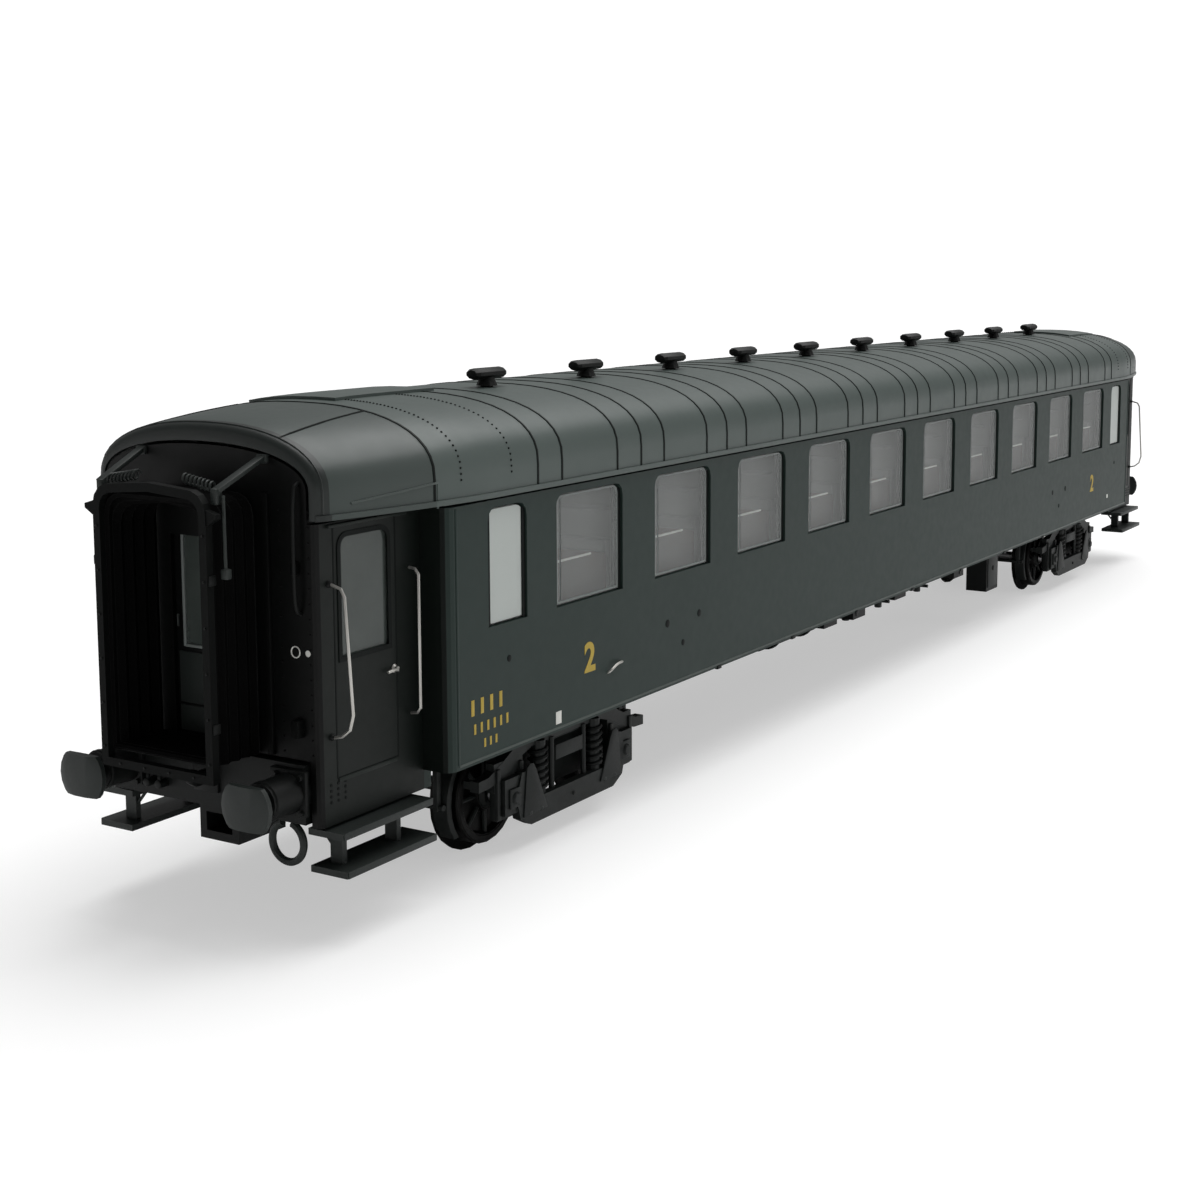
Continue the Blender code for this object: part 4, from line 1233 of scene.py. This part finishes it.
    def fittings(self) -> None:
        """Add the socket holes, the lamp hook and the hinges of the sill."""
        holes = []
        sockets = ((103.0, 22.1, 0.32), (72.2, 20.2, 0.42), (64.9, 20.2, 0.40), (68.65, 17.4, 0.34))
        for x, z, radius in sockets:
            for sign in (-1, 1):
                profile = [(0.0, 0.03), (radius * 0.9, 0.05), (radius * 1.1, 0.02), (radius * 1.1, -0.2)]
                holes.append(lathe("socket", profile, (sign * x, -self.wall, z), (0, -1, 0), 14))
        hand_over(both_ends(merge("holes", holes), "side_sockets"), SEAM)
        bend = [
            (-84.9, -16.3, 17.0), (-84.9, -16.8, 17.3), (-83.7, -16.9, 17.9), (-82.4, -16.8, 17.9),
            (-82.3, -16.3, 17.6),
        ]
        hook = bent_wire("hook", softened(bend), 0.13)
        hand_over(both_ends(hook, "side_hooks"), WIRE)
        tabs = [
            block("tab", (x - 0.5, -self.wall - 0.12, 12.6), (x + 0.5, -self.wall + 0.3, 13.0), 0.05)
            for x in (-60, -40, -20, 0, 20, 40, 60)
        ]
        hand_over(both_ends(merge("tabs", tabs), "sill_tabs"), BLACK)

    def door(self) -> None:
        """Trim, grooves, vents, handle and handrail feet of the front left door, at all four doors."""
        y = -self.porch
        frame = ring("door_frame", arched(-124.25, -116.95, 25.4, 37.0, 1.3), 0.45, y + 0.05, 0.14)
        step = block("kick", (-124.6, y - 0.12, 14.6), (-116.5, y + 0.1, 15.0), 0.05)
        drip = block("drip", (-125.6, y - 0.35, 37.55), (-114.8, y + 0.1, 37.85), 0.08)
        trim = both_sides_and_ends(merge("door", [step, drip]), "door_trim")
        # The trim is darkened as painted shade.
        hand_over(trim, DOOR_SHADE_GREEN)
        near, far = -124.7, -116.2
        grooves = [
            block("groove", (x - 0.1, y - 0.03, 15.0), (x + 0.1, y + 0.1, 37.5), 0.02) for x in (near, far)
        ]
        grooves.append(block("foot_groove", (near, y - 0.03, 14.9), (far, y + 0.1, 15.1), 0.02))
        grooves.append(frame)
        for column in range(3):
            for row in range(4):
                x, z = -125.6 + column * 0.95, 13.0 + row * 0.52
                grooves.append(rod("vent", (x, y - 0.05, z), (x, y + 0.1, z), 0.15, 8))
        hand_over(both_sides_and_ends(merge("grooves", grooves), "door_grooves"), SEAM)
        x, z = -116.6, 23.4
        profile = [(0, 0.5), (0.22, 0.45), (0.25, 0.2), (0.42, 0.05), (0.42, -0.05)]
        knob = lathe("knob", profile, (x, y, z), (0, -1, 0), 14)
        grip = [(x, y - 0.45, z), (-117.3, y - 0.5, z), (-118.0, y - 0.4, 23.3)]
        lever = bent_wire("lever", softened(grip), 0.14)
        hand_over(both_sides_and_ends(merge("handle", [knob, lever]), "door_handles"), WIRE)
        profile = [(0, 0.3), (0.22, 0.26), (0.32, 0.1), (0.34, -0.05)]
        feet = [lathe("foot", profile, (-125.4, -13.15, z), (0, -1, 0), 12) for z in (32.6, 18.9)]
        hand_over(both_sides_and_ends(merge("feet", feet), "handrail_feet"), BLACK)


# ---------------------------------------------------------------- ends


@dataclass
class CoachEnd:
    """End wall, gangway arms, buffer bases and headstock of the front, repeated at the rear.

    Attributes:
        wall: place of the end wall's face, in millimetres.
        face: place of the gangway frame's face.
        beam: place of the headstock's face.
        buffer_y: distance of the buffers from the middle.
        buffer_z: height of the buffers.
        pipe_z: height of the pipe stubs.
    """

    wall: float = -127.0
    face: float = -133.6
    beam: float = -127.5
    buffer_y: float = 10.05
    buffer_z: float = 14.0
    pipe_z: float = 12.6

    def build(self) -> None:
        """Make every fitting of the ends."""
        self.panels()
        self.arms()
        self.gangway()
        self.buffers()
        self.headstock()

    def panels(self) -> None:
        """Posts, lamp irons, rivets and small marks on the end wall, and its door."""
        made, wall, inside = [], self.wall, self.wall + 0.1
        for y in (-7.6, 7.6):
            made.append(block("post", (wall - 0.35, y - 0.35, 17.0), (inside, y + 0.35, 40.5), 0.1))
        for y in (-10.9, 10.9):
            made.append(block("iron", (wall - 0.8, y - 0.45, 19.0), (inside, y + 0.45, 20.6), 0.1))
            made.append(block("iron", (wall - 0.5, y - 0.3, 33.5), (inside, y + 0.3, 34.6), 0.1))
        hand_over(both_ends(merge("posts", made), "end_wall_posts"), END_BLACK)
        self.end_door()
        clear_selection()
        bpy.ops.mesh.primitive_ico_sphere_add(subdivisions=1, radius=0.12 * MM)
        rivet = settle("end_rivet")
        moves = [at(wall, y, 17.5 + 1.35 * i) for y in (-12.3, -9.0, 9.0, 12.3) for i in range(17)]
        rivets = repeat(rivet, moves, "rivets")
        hand_over(both_ends(rivets, "end_rivets"), END_BLACK, angle=80)
        angles = [i * math.tau / 14 for i in range(14)]
        circle = [(wall - 0.02, -10.6 + 0.5 * math.cos(a), 26.6 + 0.5 * math.sin(a)) for a in angles]
        marks = [
            bent_wire("ring", circle, 0.06, closed=True, sides=1),
            lathe("drop", [(0, 0.03), (0.28, 0.02), (0.32, -0.02)], (wall, -12.0, 26.6), (-1, 0, 0), 12),
        ]
        hand_over(both_ends(merge("marks", marks), "end_marks"), WHITE)

    def end_door(self) -> None:
        """Window, its pale frame, the lower panel and the handle of the door behind the gangway."""
        x = self.wall + 0.45
        pane = block("pane", (x - 0.08, -2.9, 25.9), (x + 0.05, 2.9, 36.7), 0.02)
        hand_over(both_ends(pane, "end_door_glass"), DOOR_CLEAR)
        trim = []
        for y in (-3.05, 3.05):
            trim.append(block("bar", (x - 0.22, y - 0.16, 25.6), (x + 0.05, y + 0.16, 37.0), 0.05))
        for z in (25.7, 36.9):
            trim.append(block("bar", (x - 0.2, -3.0, z - 0.14), (x + 0.05, 3.0, z + 0.14), 0.05))
        hand_over(both_ends(merge("trim", trim), "end_door_trim"), TRIM)
        low = [
            block("panel", (x - 0.12, -3.9, 20.3), (x + 0.05, 3.9, 25.1), 0.06),
            block("kick", (x - 0.18, -3.9, 17.7), (x + 0.05, 3.9, 20.1), 0.06),
            rod("handle", (x - 0.5, 3.5, 27.5), (x - 0.5, 3.5, 28.6), 0.12, 8),
        ]
        hand_over(both_ends(merge("low", low), "end_door_panels"), STEP_GREY)

    def arms(self) -> None:
        """The two arms that hold up the gangway, with their rods and springs, and the end wall's rail."""
        made, face, wall = [], self.face, self.wall
        turns, steps, radius = 8, 10, 0.42
        last = turns * steps
        for side in (-1, 1):
            hinge, foot = side * 7.4, side * 7.75
            low, high = Vector((face + 1.2, side * 7.0, 41.0)), Vector((wall + 0.1, hinge, 43.5))
            wide = Vector((0.0, 0.45, 0.0))
            up = (high - low).cross(wide).normalized() * 0.4
            corners = [low - wide, high - wide, high + wide, low + wide]
            made.append(panel("arm", corners, up, 0.08))
            low, high = (wall - 0.3, hinge - 0.6, 43.1), (wall + 0.2, hinge + 0.6, 43.9)
            made.append(block("hinge", low, high, 0.12))
            lug = side * 6.9
            made.append(block("lug", (face + 0.9, lug - 0.35, 40.0), (face + 1.7, lug + 0.35, 41.4), 0.12))
            made.append(rod("drop_rod", (face + 1.5, side * 7.5, 40.8), (face + 1.3, foot, 34.2), 0.16, 8))
            low, high = (face + 1.0, foot - 0.35, 33.6), (face + 1.7, foot + 0.35, 34.5)
            made.append(block("drop_end", low, high, 0.12))
            coil = []
            for step in range(last + 1):
                angle = math.tau * step / steps
                across = side * (2.8 + 3.6 * step / last)
                height = 42.0 - 0.6 * step / last + radius * math.sin(angle)
                coil.append((face + 1.7 + radius * math.cos(angle), across, height))
            made.append(bent_wire("return_spring", coil, 0.1, sides=1))
        hand_over(both_ends(merge("arms", made), "gangway_arms"), STEP_GREY)
        heights = ((0.05, 30.0), (-0.7, 30.4), (-0.8, 34.0), (-0.7, 41.2), (0.05, 41.6))
        rail = bent_wire("rail", softened([(wall + out, -11.3, z) for out, z in heights]), 0.16)
        hand_over(both_ends(rail, "end_wall_rails"), BLACK)

    def gangway(self) -> None:
        """Bolt heads, clips and a threshold plate on the gangway frame, and the bellows' cuff."""
        clear_selection()
        bpy.ops.mesh.primitive_cylinder_add(
            vertices=6, radius=0.11 * MM, depth=0.14 * MM, rotation=(0, math.pi / 2, 0)
        )
        bolt = settle("bolt")
        moves = [at(self.face - 0.02, y, 17.4 + 4.0 * i) for y in (-6.4, 6.4) for i in range(6)]
        moves += [at(self.face - 0.02, y, 16.0) for y in (-4.5, -1.5, 1.5, 4.5)]
        hand_over(both_ends(repeat(bolt, moves, "bolts"), "gangway_bolts"), BLACK)
        clips, front, back = [], self.face + 0.15, self.face + 1.0
        for y in (-6.75, 6.75):
            for z in (20.5, 33.5):
                clips.append(block("clip", (front, y - 0.2, z - 0.45), (back, y + 0.2, z + 0.45), 0.08))
        low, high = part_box("bellows_front")
        wide, bottom, top = high[1] / MM - 0.35, low[2] / MM + 0.35, high[2] / MM - 0.35
        line = [(low[0] / MM - 0.15, y, z) for y, z in arched(-wide, wide, bottom, top, 1.9)]
        cuff = bent_wire("cuff", line, 0.4, closed=True, sides=1)
        hand_over(both_ends(cuff, "bellows_cuffs"), RUBBER)
        sill = block("sill", (self.face + 0.7, -5.6, 17.0), (self.wall - 0.5, 5.6, 17.3), 0.06)
        hand_over(both_ends(merge("clips", clips + [sill]), "gangway_clips"), BLACK)

    def buffers(self) -> None:
        """Square base and bolts behind each buffer sleeve, and a collar at its mouth."""
        made, beam = [], self.beam
        profile = [(1.76, 0.0), (1.88, 0.05), (1.88, 0.4), (1.76, 0.5)]
        for y in (-self.buffer_y, self.buffer_y):
            edge = y + 1.6 if y > 0 else y + 2.1
            made.append(block("base", (beam - 0.45, y - 2.1, 12.0), (beam + 0.1, edge, 16.2), 0.15))
            made.append(lathe("collar", profile, (-130.7, y, self.buffer_z), (-1, 0, 0)))
            for dy in (-1.6, 1.3):
                for dz in (-1.65, 1.65):
                    z = self.buffer_z + dz
                    made.append(rod("nut", (beam - 0.8, y + dy, z), (beam - 0.3, y + dy, z), 0.28, 6))
        hand_over(both_ends(merge("buffer_bases", made), "buffer_bases"), BLACK)

    def headstock(self) -> None:
        """Coupling hook, pipe stubs and the loop of the brake hose."""
        outline = (
            (-127.4, 13.4), (-129.2, 13.4), (-129.9, 13.9), (-129.6, 15.0),
            (-129.0, 15.0), (-129.1, 14.4), (-128.4, 14.7), (-127.4, 14.7),
        )
        hook = panel("hook", [(x, -0.35, z) for x, z in outline], (0, 0.7, 0), 0.12)
        beam, low = self.beam, self.pipe_z
        plate = block("hook_plate", (beam - 0.3, -1.5, low), (beam + 0.1, 1.5, 15.6), 0.12)
        stubs = [hook, plate]
        for y in (-6.2, 5.4, 6.9):
            stubs.append(rod("stub", (beam + 0.2, y, low), (beam - 1.0, y, low), 0.42, 12, 0.08))
            stubs.append(rod("tap", (beam - 0.7, y, 12.4), (beam - 0.7, y, 13.5), 0.2, 8, 0.05))
        hand_over(both_ends(merge("stubs", stubs), "headstock_fittings"), BLACK)
        for end in End:
            low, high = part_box("brake_hose_" + end.value)
            x = -abs(low[0] + high[0]) / 2 / MM
            loop, radius = [], 1.85
            for step in range(49):
                angle = math.radians(108 + 324 * step / 48)
                loop.append((x, -8.75 + radius * math.cos(angle), 9.0 + radius * math.sin(angle)))
            hose = bent_wire("hose_loop_" + end.value, loop, 0.36)
            hose.data.transform(end.turn)
            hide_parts("brake_hose_" + end.value)
            hand_over(hose, STEP_GREY)


# ---------------------------------------------------------------- running gear


@dataclass
class BogieDetail:
    """Springs, brake gear and axle-box covers of one bogie.

    Attributes:
        end: which bogie.
        pivot: distance of its pivot from the middle, in millimetres.
        base: half of its wheelbase.
        axle_z: height of its axles.
        shoe_reach: distance from an axle to its brake hanger.
        shoe_radius: radius of a brake block's face.
    """

    end: End
    pivot: float = 87.25
    base: float = 10.75
    axle_z: float = 6.25
    shoe_reach: float = 6.95
    shoe_radius: float = 5.75

    @property
    def middle(self) -> float:
        """The pivot's place along the coach."""
        return -self.pivot if self.end is End.FRONT else self.pivot

    def build(self) -> None:
        """Make the pieces and hang them on the bogie."""
        body = "bogie_" + self.end.value
        springs, gear = [], []
        for side in (-1, 1):
            for along in (-1, 1):
                springs.append(self.coil(self.middle + along * 5.3, side * 12.5))
                gear += self.axle_box(self.middle + along * self.base, side)
                gear += self.brake(self.middle + along * (self.base + self.shoe_reach), side, along)
            gear += self.bolster(side)
        hand_over(merge("coil_springs_" + self.end.value, springs), BLACK, body)
        # Near-black plates behind the springs, shaped like frame plates, paint the shade that fills the
        # bogie's gaps.
        near, far = self.middle - 7.6, self.middle + 7.6
        shade_plates = [
            block("shade_plate", (near, y - 0.2, 4.9), (far, y + 0.2, 10.6), 0.1) for y in (-10.7, 10.7)
        ]
        hand_over(merge("spring_shade_plates_" + self.end.value, shade_plates), SEAM, body)
        hand_over(merge("bogie_gear_" + self.end.value, gear), FRAME, body)

    def coil(self, x: float, y: float) -> Shape:
        """Wind one coil spring round an upright axis.

        Args:
            x: the axis's place along the coach, in millimetres.
            y: its place across the coach.

        Returns:
            The spring.
        """
        turns, steps, radius = 6, 12, 0.92
        points = []
        for step in range(turns * steps + 1):
            angle = math.tau * step / steps
            height = 5.5 + 4.7 * step / (turns * steps)
            points.append((x + radius * math.cos(angle), y + radius * math.sin(angle), height))
        return bent_wire("coil", points, 0.22, sides=1)

    def axle_box(self, x: float, side: int) -> list:
        """Cover, lid, horns and stay of one axle box.

        Args:
            x: the axle's place along the coach, in millimetres.
            side: -1 for the left side, 1 for the right.

        Returns:
            The pieces.
        """
        face = side * 13.3
        out = side * 0.25
        made = [block("cover", (x - 0.95, face, 5.2), (x + 0.95, face + out, 7.3), 0.2)]
        profile = [(0, 0.3), (0.5, 0.26), (0.66, 0.1), (0.7, -0.1)]
        made.append(lathe("lid", profile, (x, face + out, self.axle_z), (0, side, 0), 18))
        inner, outer = face - side * 1.4, face - side * 0.6
        made.append(block("horn_stay", (x - 2.2, inner, 4.1), (x + 2.2, outer, 4.7), 0.1))
        inner, outer = face - side * 1.5, face - side * 0.4
        for dx in (-2.0, 2.0):
            made.append(block("horn", (x + dx - 0.3, inner, 4.3), (x + dx + 0.3, outer, 9.6), 0.1))
        return made

    def brake(self, x: float, side: int, along: int) -> list:
        """Brake block, hanger and half of the beam that joins it to the other side's.

        Args:
            x: the hanger's place along the coach, in millimetres.
            side: -1 for the left side, 1 for the right.
            along: -1 when the axle is behind the hanger, 1 when it is ahead.

        Returns:
            The pieces.
        """
        y = side * 8.75
        shoe, radius = [], self.shoe_radius
        centre = x - along * self.shoe_reach
        for step in range(7):
            angle = math.radians(-38 + 76 * step / 6)
            shoe.append((centre + along * radius * math.cos(angle), self.axle_z + radius * math.sin(angle)))
        back = [(px + along * 0.8, pz) for px, pz in reversed(shoe)]
        outline = [(px, y - side * 0.9, pz) for px, pz in shoe + back]
        made = [panel("shoe", outline, (0, side * 1.8, 0), 0.08)]
        made.append(block("hanger", (x - 0.35, y - 0.3, 6.0), (x + 0.35, y + 0.3, 10.4), 0.1))
        made.append(rod("brake_beam", (x, 0, 6.4), (x, side * 9.6, 6.4), 0.3, 10))
        return made

    def bolster(self, side: int) -> list:
        """Bolster end, hanger links, the beam's rivets and its slanting braces.

        Args:
            side: -1 for the left side, 1 for the right.

        Returns:
            The pieces.
        """
        middle, y = self.middle, side * 12.7
        edge = y + side * 0.5 + 0.3
        made = [block("bolster_end", (middle - 2.6, y - 0.3, 8.2), (middle + 2.6, edge, 9.8), 0.2)]
        for dx in (-3.1, 3.1):
            made.append(rod("link", (middle + dx, y, 3.6), (middle + dx, y, 10.8), 0.3, 10))
        profile = [(0, 0.22), (0.2, 0.18), (0.3, 0.0)]
        for dx in (-8.2, -6.2, 0.0, 6.2, 8.2):
            made.append(lathe("rivet", profile, (middle + dx, side * 13.5, 4.0), (0, side, 0), 10))
        corners = ((9.5, 3.8), (5.2, 3.9), (7.3, 8.6), (7.7, 9.2), (8.4, 9.3), (8.9, 8.9))
        outline = [(middle - dx, z) for dx, z in corners]
        for mirrored in (False, True):
            line = [(2 * middle - x if mirrored else x, side * 13.45, z) for x, z in outline]
            made.append(panel("brace", line, (0, side * 0.22, 0), 0.06))
        return made


@dataclass
class WheelDetail:
    """Rim, hub and web of the wheels on one axle.

    Attributes:
        number: the wheelset's number.
    """

    number: int

    def build(self) -> None:
        """Turn the tyre faces and the hubs, and set the webs between them."""
        pieces, bright = [], []
        for side, name in ((-1, "left"), (1, "right")):
            low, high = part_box("wheel_%d_%s" % (self.number, name))
            x, z = (low[0] + high[0]) / 2 / MM, (low[2] + high[2]) / 2 / MM
            face = side * max(abs(low[1]), abs(high[1])) / MM
            hub = [(0.78, 0.55), (1.25, 0.5), (1.5, 0.15), (1.6, -0.1)]
            pieces.append(lathe("hub", hub, (x, face, z), (0, side, 0), 24))
            for spoke in range(8):
                angle = math.tau * spoke / 8
                out = Vector((math.cos(angle), 0, math.sin(angle)))
                foot = Vector((x, face - side * 0.52, z))
                pieces.append(rod("web", foot + out * 1.5, foot + out * 4.2, 0.28, 8))
            tyre = [(4.35, 0.0), (4.45, 0.08), (4.95, 0.08), (5.05, 0.0)]
            bright.append(lathe("tyre", tyre, (x, face, z), (0, side, 0), 32))
        body = "wheelset_%d" % self.number
        hand_over(merge("wheel_webs_%d" % self.number, pieces), FRAME, body)
        hand_over(merge("tyre_faces_%d" % self.number, bright), TREAD, body)


# ---------------------------------------------------------------- underfloor and inside


@dataclass
class Underfloor:
    """Doors on the battery boxes, tank straps, pipes and step treads.

    Attributes:
        tank_y: place of the air tank's axis across the coach, in millimetres.
        tank_z: height of the tank's axis.
        tank_radius: radius of the tank's straps.
    """

    tank_y: float = -6.0
    tank_z: float = 10.4
    tank_radius: float = 2.52

    def build(self) -> None:
        """Make the fittings under the floor."""
        made = []
        made.append(block("box_door", (-46.0, 12.95, 6.2), (-41.5, 13.15, 12.4), 0.1))
        made.append(block("box_hasp", (-44.0, 13.1, 9.0), (-43.5, 13.3, 9.8), 0.06))
        y, z, radius = self.tank_y, self.tank_z, self.tank_radius
        angles = [i * math.tau / 28 for i in range(28)]
        for x in (-27.5, -17.5):
            strap = [(x, y + radius * math.cos(a), z + radius * math.sin(a)) for a in angles]
            made.append(bent_wire("strap", strap, 0.18, closed=True, sides=1))
        route = [(-66, -9.5, 12.7), (-40, -9.5, 12.7), (-34, -8.4, 12.2), (-31, y, 11.4), (-30.6, y, 11.0)]
        made.append(bent_wire("pipe", softened(route), 0.32))
        made.append(rod("pull_rod", (-62, 1.5, 11.9), (62, 1.5, 11.9), 0.3, 10))
        for x in (-26.0, -12.0, 3.0, 14.5):
            made.append(rod("valve", (x, 12.2, 10.2), (x, 12.2, 12.4), 0.55, 12, 0.1))
            made.append(rod("valve_rod", (x, 11.0, 11.2), (x, 14.0, 11.2), 0.25, 8))
        hand_over(both_ends(merge("gear", made), "underfloor_gear"), FRAME)
        self.treads()

    def treads(self) -> None:
        """Fold a lip along the step boards of one corner, brace them and repeat at all four."""
        made = []
        for z, far in ((10.6, -14.8), (7.2, -15.2)):
            made.append(block("lip", (-126.3, far - 0.3, z - 0.62), (-113.7, far - 0.18, z + 0.04), 0.05))
        for x in (-124.6, -117.0):
            made.append(rod("brace", (x, -13.6, 7.2), (x, -10.9, 10.3), 0.16, 8))
        hand_over(both_sides_and_ends(merge("treads", made), "step_treads"), STEP_GREY)


@dataclass
class Compartments:
    """Seats, luggage racks and headrests seen through the windows.

    Attributes:
        bays: number of compartments.
        pitch: distance between them, in millimetres.
        floor: height of the floor.
    """

    bays: int = 10
    pitch: float = 19.6
    floor: float = 16.6

    def build(self) -> None:
        """Make the upholstery and the racks."""
        seats, rests = [], []
        floor = self.floor
        for wall in range(self.bays + 1):
            x = (wall - self.bays / 2) * self.pitch
            for sign in (-1, 1):
                if (wall == 0 and sign < 0) or (wall == self.bays and sign > 0):
                    continue
                low, high = sorted((x + sign * 1.75, x + sign * 5.0))
                seats.append(block("seat", (low, -13.3, floor + 5.3), (high, 5.0, floor + 6.1), 0.3))
                low, high = sorted((x + sign * 1.65, x + sign * 2.3))
                seats.append(block("back", (low, -13.3, floor + 6.2), (high, 5.0, floor + 12.6), 0.25))
                rests.append(block("rest", (low, -13.2, floor + 12.7), (high, 4.8, floor + 13.9), 0.2))
                low, high = sorted((x + sign * 0.5, x + sign * 3.6))
                rests.append(block("rack", (low, -13.0, floor + 17.2), (high, 4.6, floor + 17.5), 0.08))
        hand_over(merge("seat_cushions", seats), SEAT)
        hand_over(merge("head_rests_and_racks", rests), PALE)


# ---------------------------------------------------------------- studio


@dataclass
class Studio:
    """Pale floor, soft lights and the camera.

    Attributes:
        sun_power: strength of the overhead light.
        sun_spread: how wide the overhead light is, in degrees.
        sun_from: the direction that it shines from.
        lens: the camera's focal length, for a sensor 36 mm wide.
        shift: the lens's sideways and upward shift.
        around: degrees round the coach from straight ahead of its left side.
        above: degrees above level.
        stand: the camera's place, in millimetres.
        glow: how strongly the floor glows to the camera.
        sky_light: strength of the backdrop's light.
        sky_seen: what the camera sees beyond that.
    """

    sun_power: float = 2.95
    sun_spread: float = 60
    sun_from: tuple = (0.42, -0.08, 1.0)
    lens: float = 53.07
    shift: tuple = (-0.0492, -0.0936)
    around: float = -59.5
    above: float = 7.03
    stand: tuple = (-241.96, -115.28, 59.89)
    glow: float = 0.48
    sky_light: float = 0.25
    sky_seen: float = 0.95

    def build(self) -> None:
        """Set up the stage."""
        self.camera()
        self.floor()
        self.sky()
        self.sun()
        self.lamp("side", (0.30, -0.62, 0.30), (0.02, 0, 0.02), 0.55, 0.52)

    def sun(self) -> None:
        """Light the whole stage evenly from above, from a wide soft source."""
        light = bpy.data.lights.new("overhead", "SUN")
        light.energy = self.sun_power
        light.angle = math.radians(self.sun_spread)
        lamp = bpy.data.objects.new("overhead", light)
        bpy.context.scene.collection.objects.link(lamp)
        lamp.rotation_mode = "QUATERNION"
        lamp.rotation_quaternion = Vector(self.sun_from).to_track_quat("Z", "Y")

    def camera(self) -> None:
        """Place the camera at the front left corner, low down."""
        lens = bpy.data.cameras.new("camera")
        lens.lens = self.lens
        lens.sensor_width = 36.0
        lens.shift_x, lens.shift_y = self.shift
        lens.clip_start = 0.005
        lens.clip_end = 50.0
        camera = bpy.data.objects.new("camera", lens)
        bpy.context.scene.collection.objects.link(camera)
        around, above = math.radians(self.around), math.radians(self.above)
        level = math.cos(above)
        back = Vector((math.sin(around) * level, -math.cos(around) * level, math.sin(above)))
        camera.rotation_mode = "QUATERNION"
        camera.rotation_quaternion = back.to_track_quat("Z", "Y")
        camera.location = Vector(self.stand) * MM
        bpy.context.scene.camera = camera

    def floor(self) -> None:
        """Lay the pale floor."""
        clear_selection()
        bpy.ops.mesh.primitive_plane_add(size=12.0, location=(0, 0, 0))
        floor = settle("studio_floor")
        paper = Finish(
            "studio_paper", (0.93, 0.93, 0.93), (0.91, 0.91, 0.91), 0.9, wear_and_highlight=0.0, scale=3.0, bump=0.0,
            gloss=0.1,
        )
        floor.data.materials.append(self.backlit(paper.material()))

    def backlit(self, paper: bpy.types.Material) -> bpy.types.Material:
        """Let the floor glow a little to the camera alone, as a light table does, so shadows stay soft.

        Args:
            paper: the floor's material.

        Returns:
            The same material.
        """
        tree = paper.node_tree
        shader = tree.nodes["Principled BSDF"]
        seen = tree.nodes.new("ShaderNodeLightPath").outputs["Is Camera Ray"]
        mix = tree.nodes.new("ShaderNodeMix")
        mix.data_type = "RGBA"
        tree.links.new(seen, mix.inputs["Factor"])
        tree.links.new(shader.inputs["Base Color"].links[0].from_socket, mix.inputs["A"])
        mix.inputs["B"].default_value = (0.55, 0.55, 0.55, 1.0)
        tree.links.new(mix.outputs["Result"], shader.inputs["Base Color"])
        shader.inputs["Emission Color"].default_value = (1.0, 1.0, 1.0, 1.0)
        tree.links.new(math_node(tree, "MULTIPLY", seen, self.glow), shader.inputs["Emission Strength"])
        return paper

    def sky(self) -> None:
        """A bright, even backdrop that lights the coach only a little."""
        world = bpy.data.worlds.new("studio_air")
        world.use_nodes = True
        bpy.context.scene.world = world
        tree = world.node_tree
        shade = tree.nodes["Background"]
        shade.inputs["Color"].default_value = (1, 1, 1, 1)
        path = tree.nodes.new("ShaderNodeLightPath")
        seen = math_node(tree, "MULTIPLY", path.outputs["Is Camera Ray"], self.sky_seen)
        tree.links.new(math_node(tree, "ADD", seen, self.sky_light), shade.inputs["Strength"])
        bpy.context.scene.view_settings.view_transform = "Standard"

    def lamp(self, name: str, place: Point, target: Point, size: float, power: float) -> None:
        """Hang a square softbox that faces a target.

        Args:
            name: the lamp's name.
            place: where it hangs, in metres.
            target: what it faces.
            size: length of its side.
            power: its power, in watts.
        """
        light = bpy.data.lights.new(name, "AREA")
        light.size = size
        light.energy = power
        lamp = bpy.data.objects.new(name, light)
        bpy.context.scene.collection.objects.link(lamp)
        lamp.location = place
        lamp.rotation_mode = "QUATERNION"
        lamp.rotation_quaternion = (Vector(place) - Vector(target)).to_track_quat("Z", "Y")


def main() -> None:
    """Load the frame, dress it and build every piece."""
    logging.basicConfig(level=logging.INFO, format="%(name)s: %(message)s")
    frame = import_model()
    Studio().build()
    carried = CarriedNodes(frame["record"]["behaviour"]["bodies"])
    carried.dress(frame["nodes"])
    RoofSkin(frame["nodes"]["roof"]).build()
    SideWall().build()
    CoachEnd().build()
    for end in End:
        BogieDetail(end).build()
    for number in range(1, 5):
        WheelDetail(number).build()
    Underfloor().build()
    Compartments().build()
    carried.round_off(frame["nodes"])


if __name__ == "__main__":
    main()
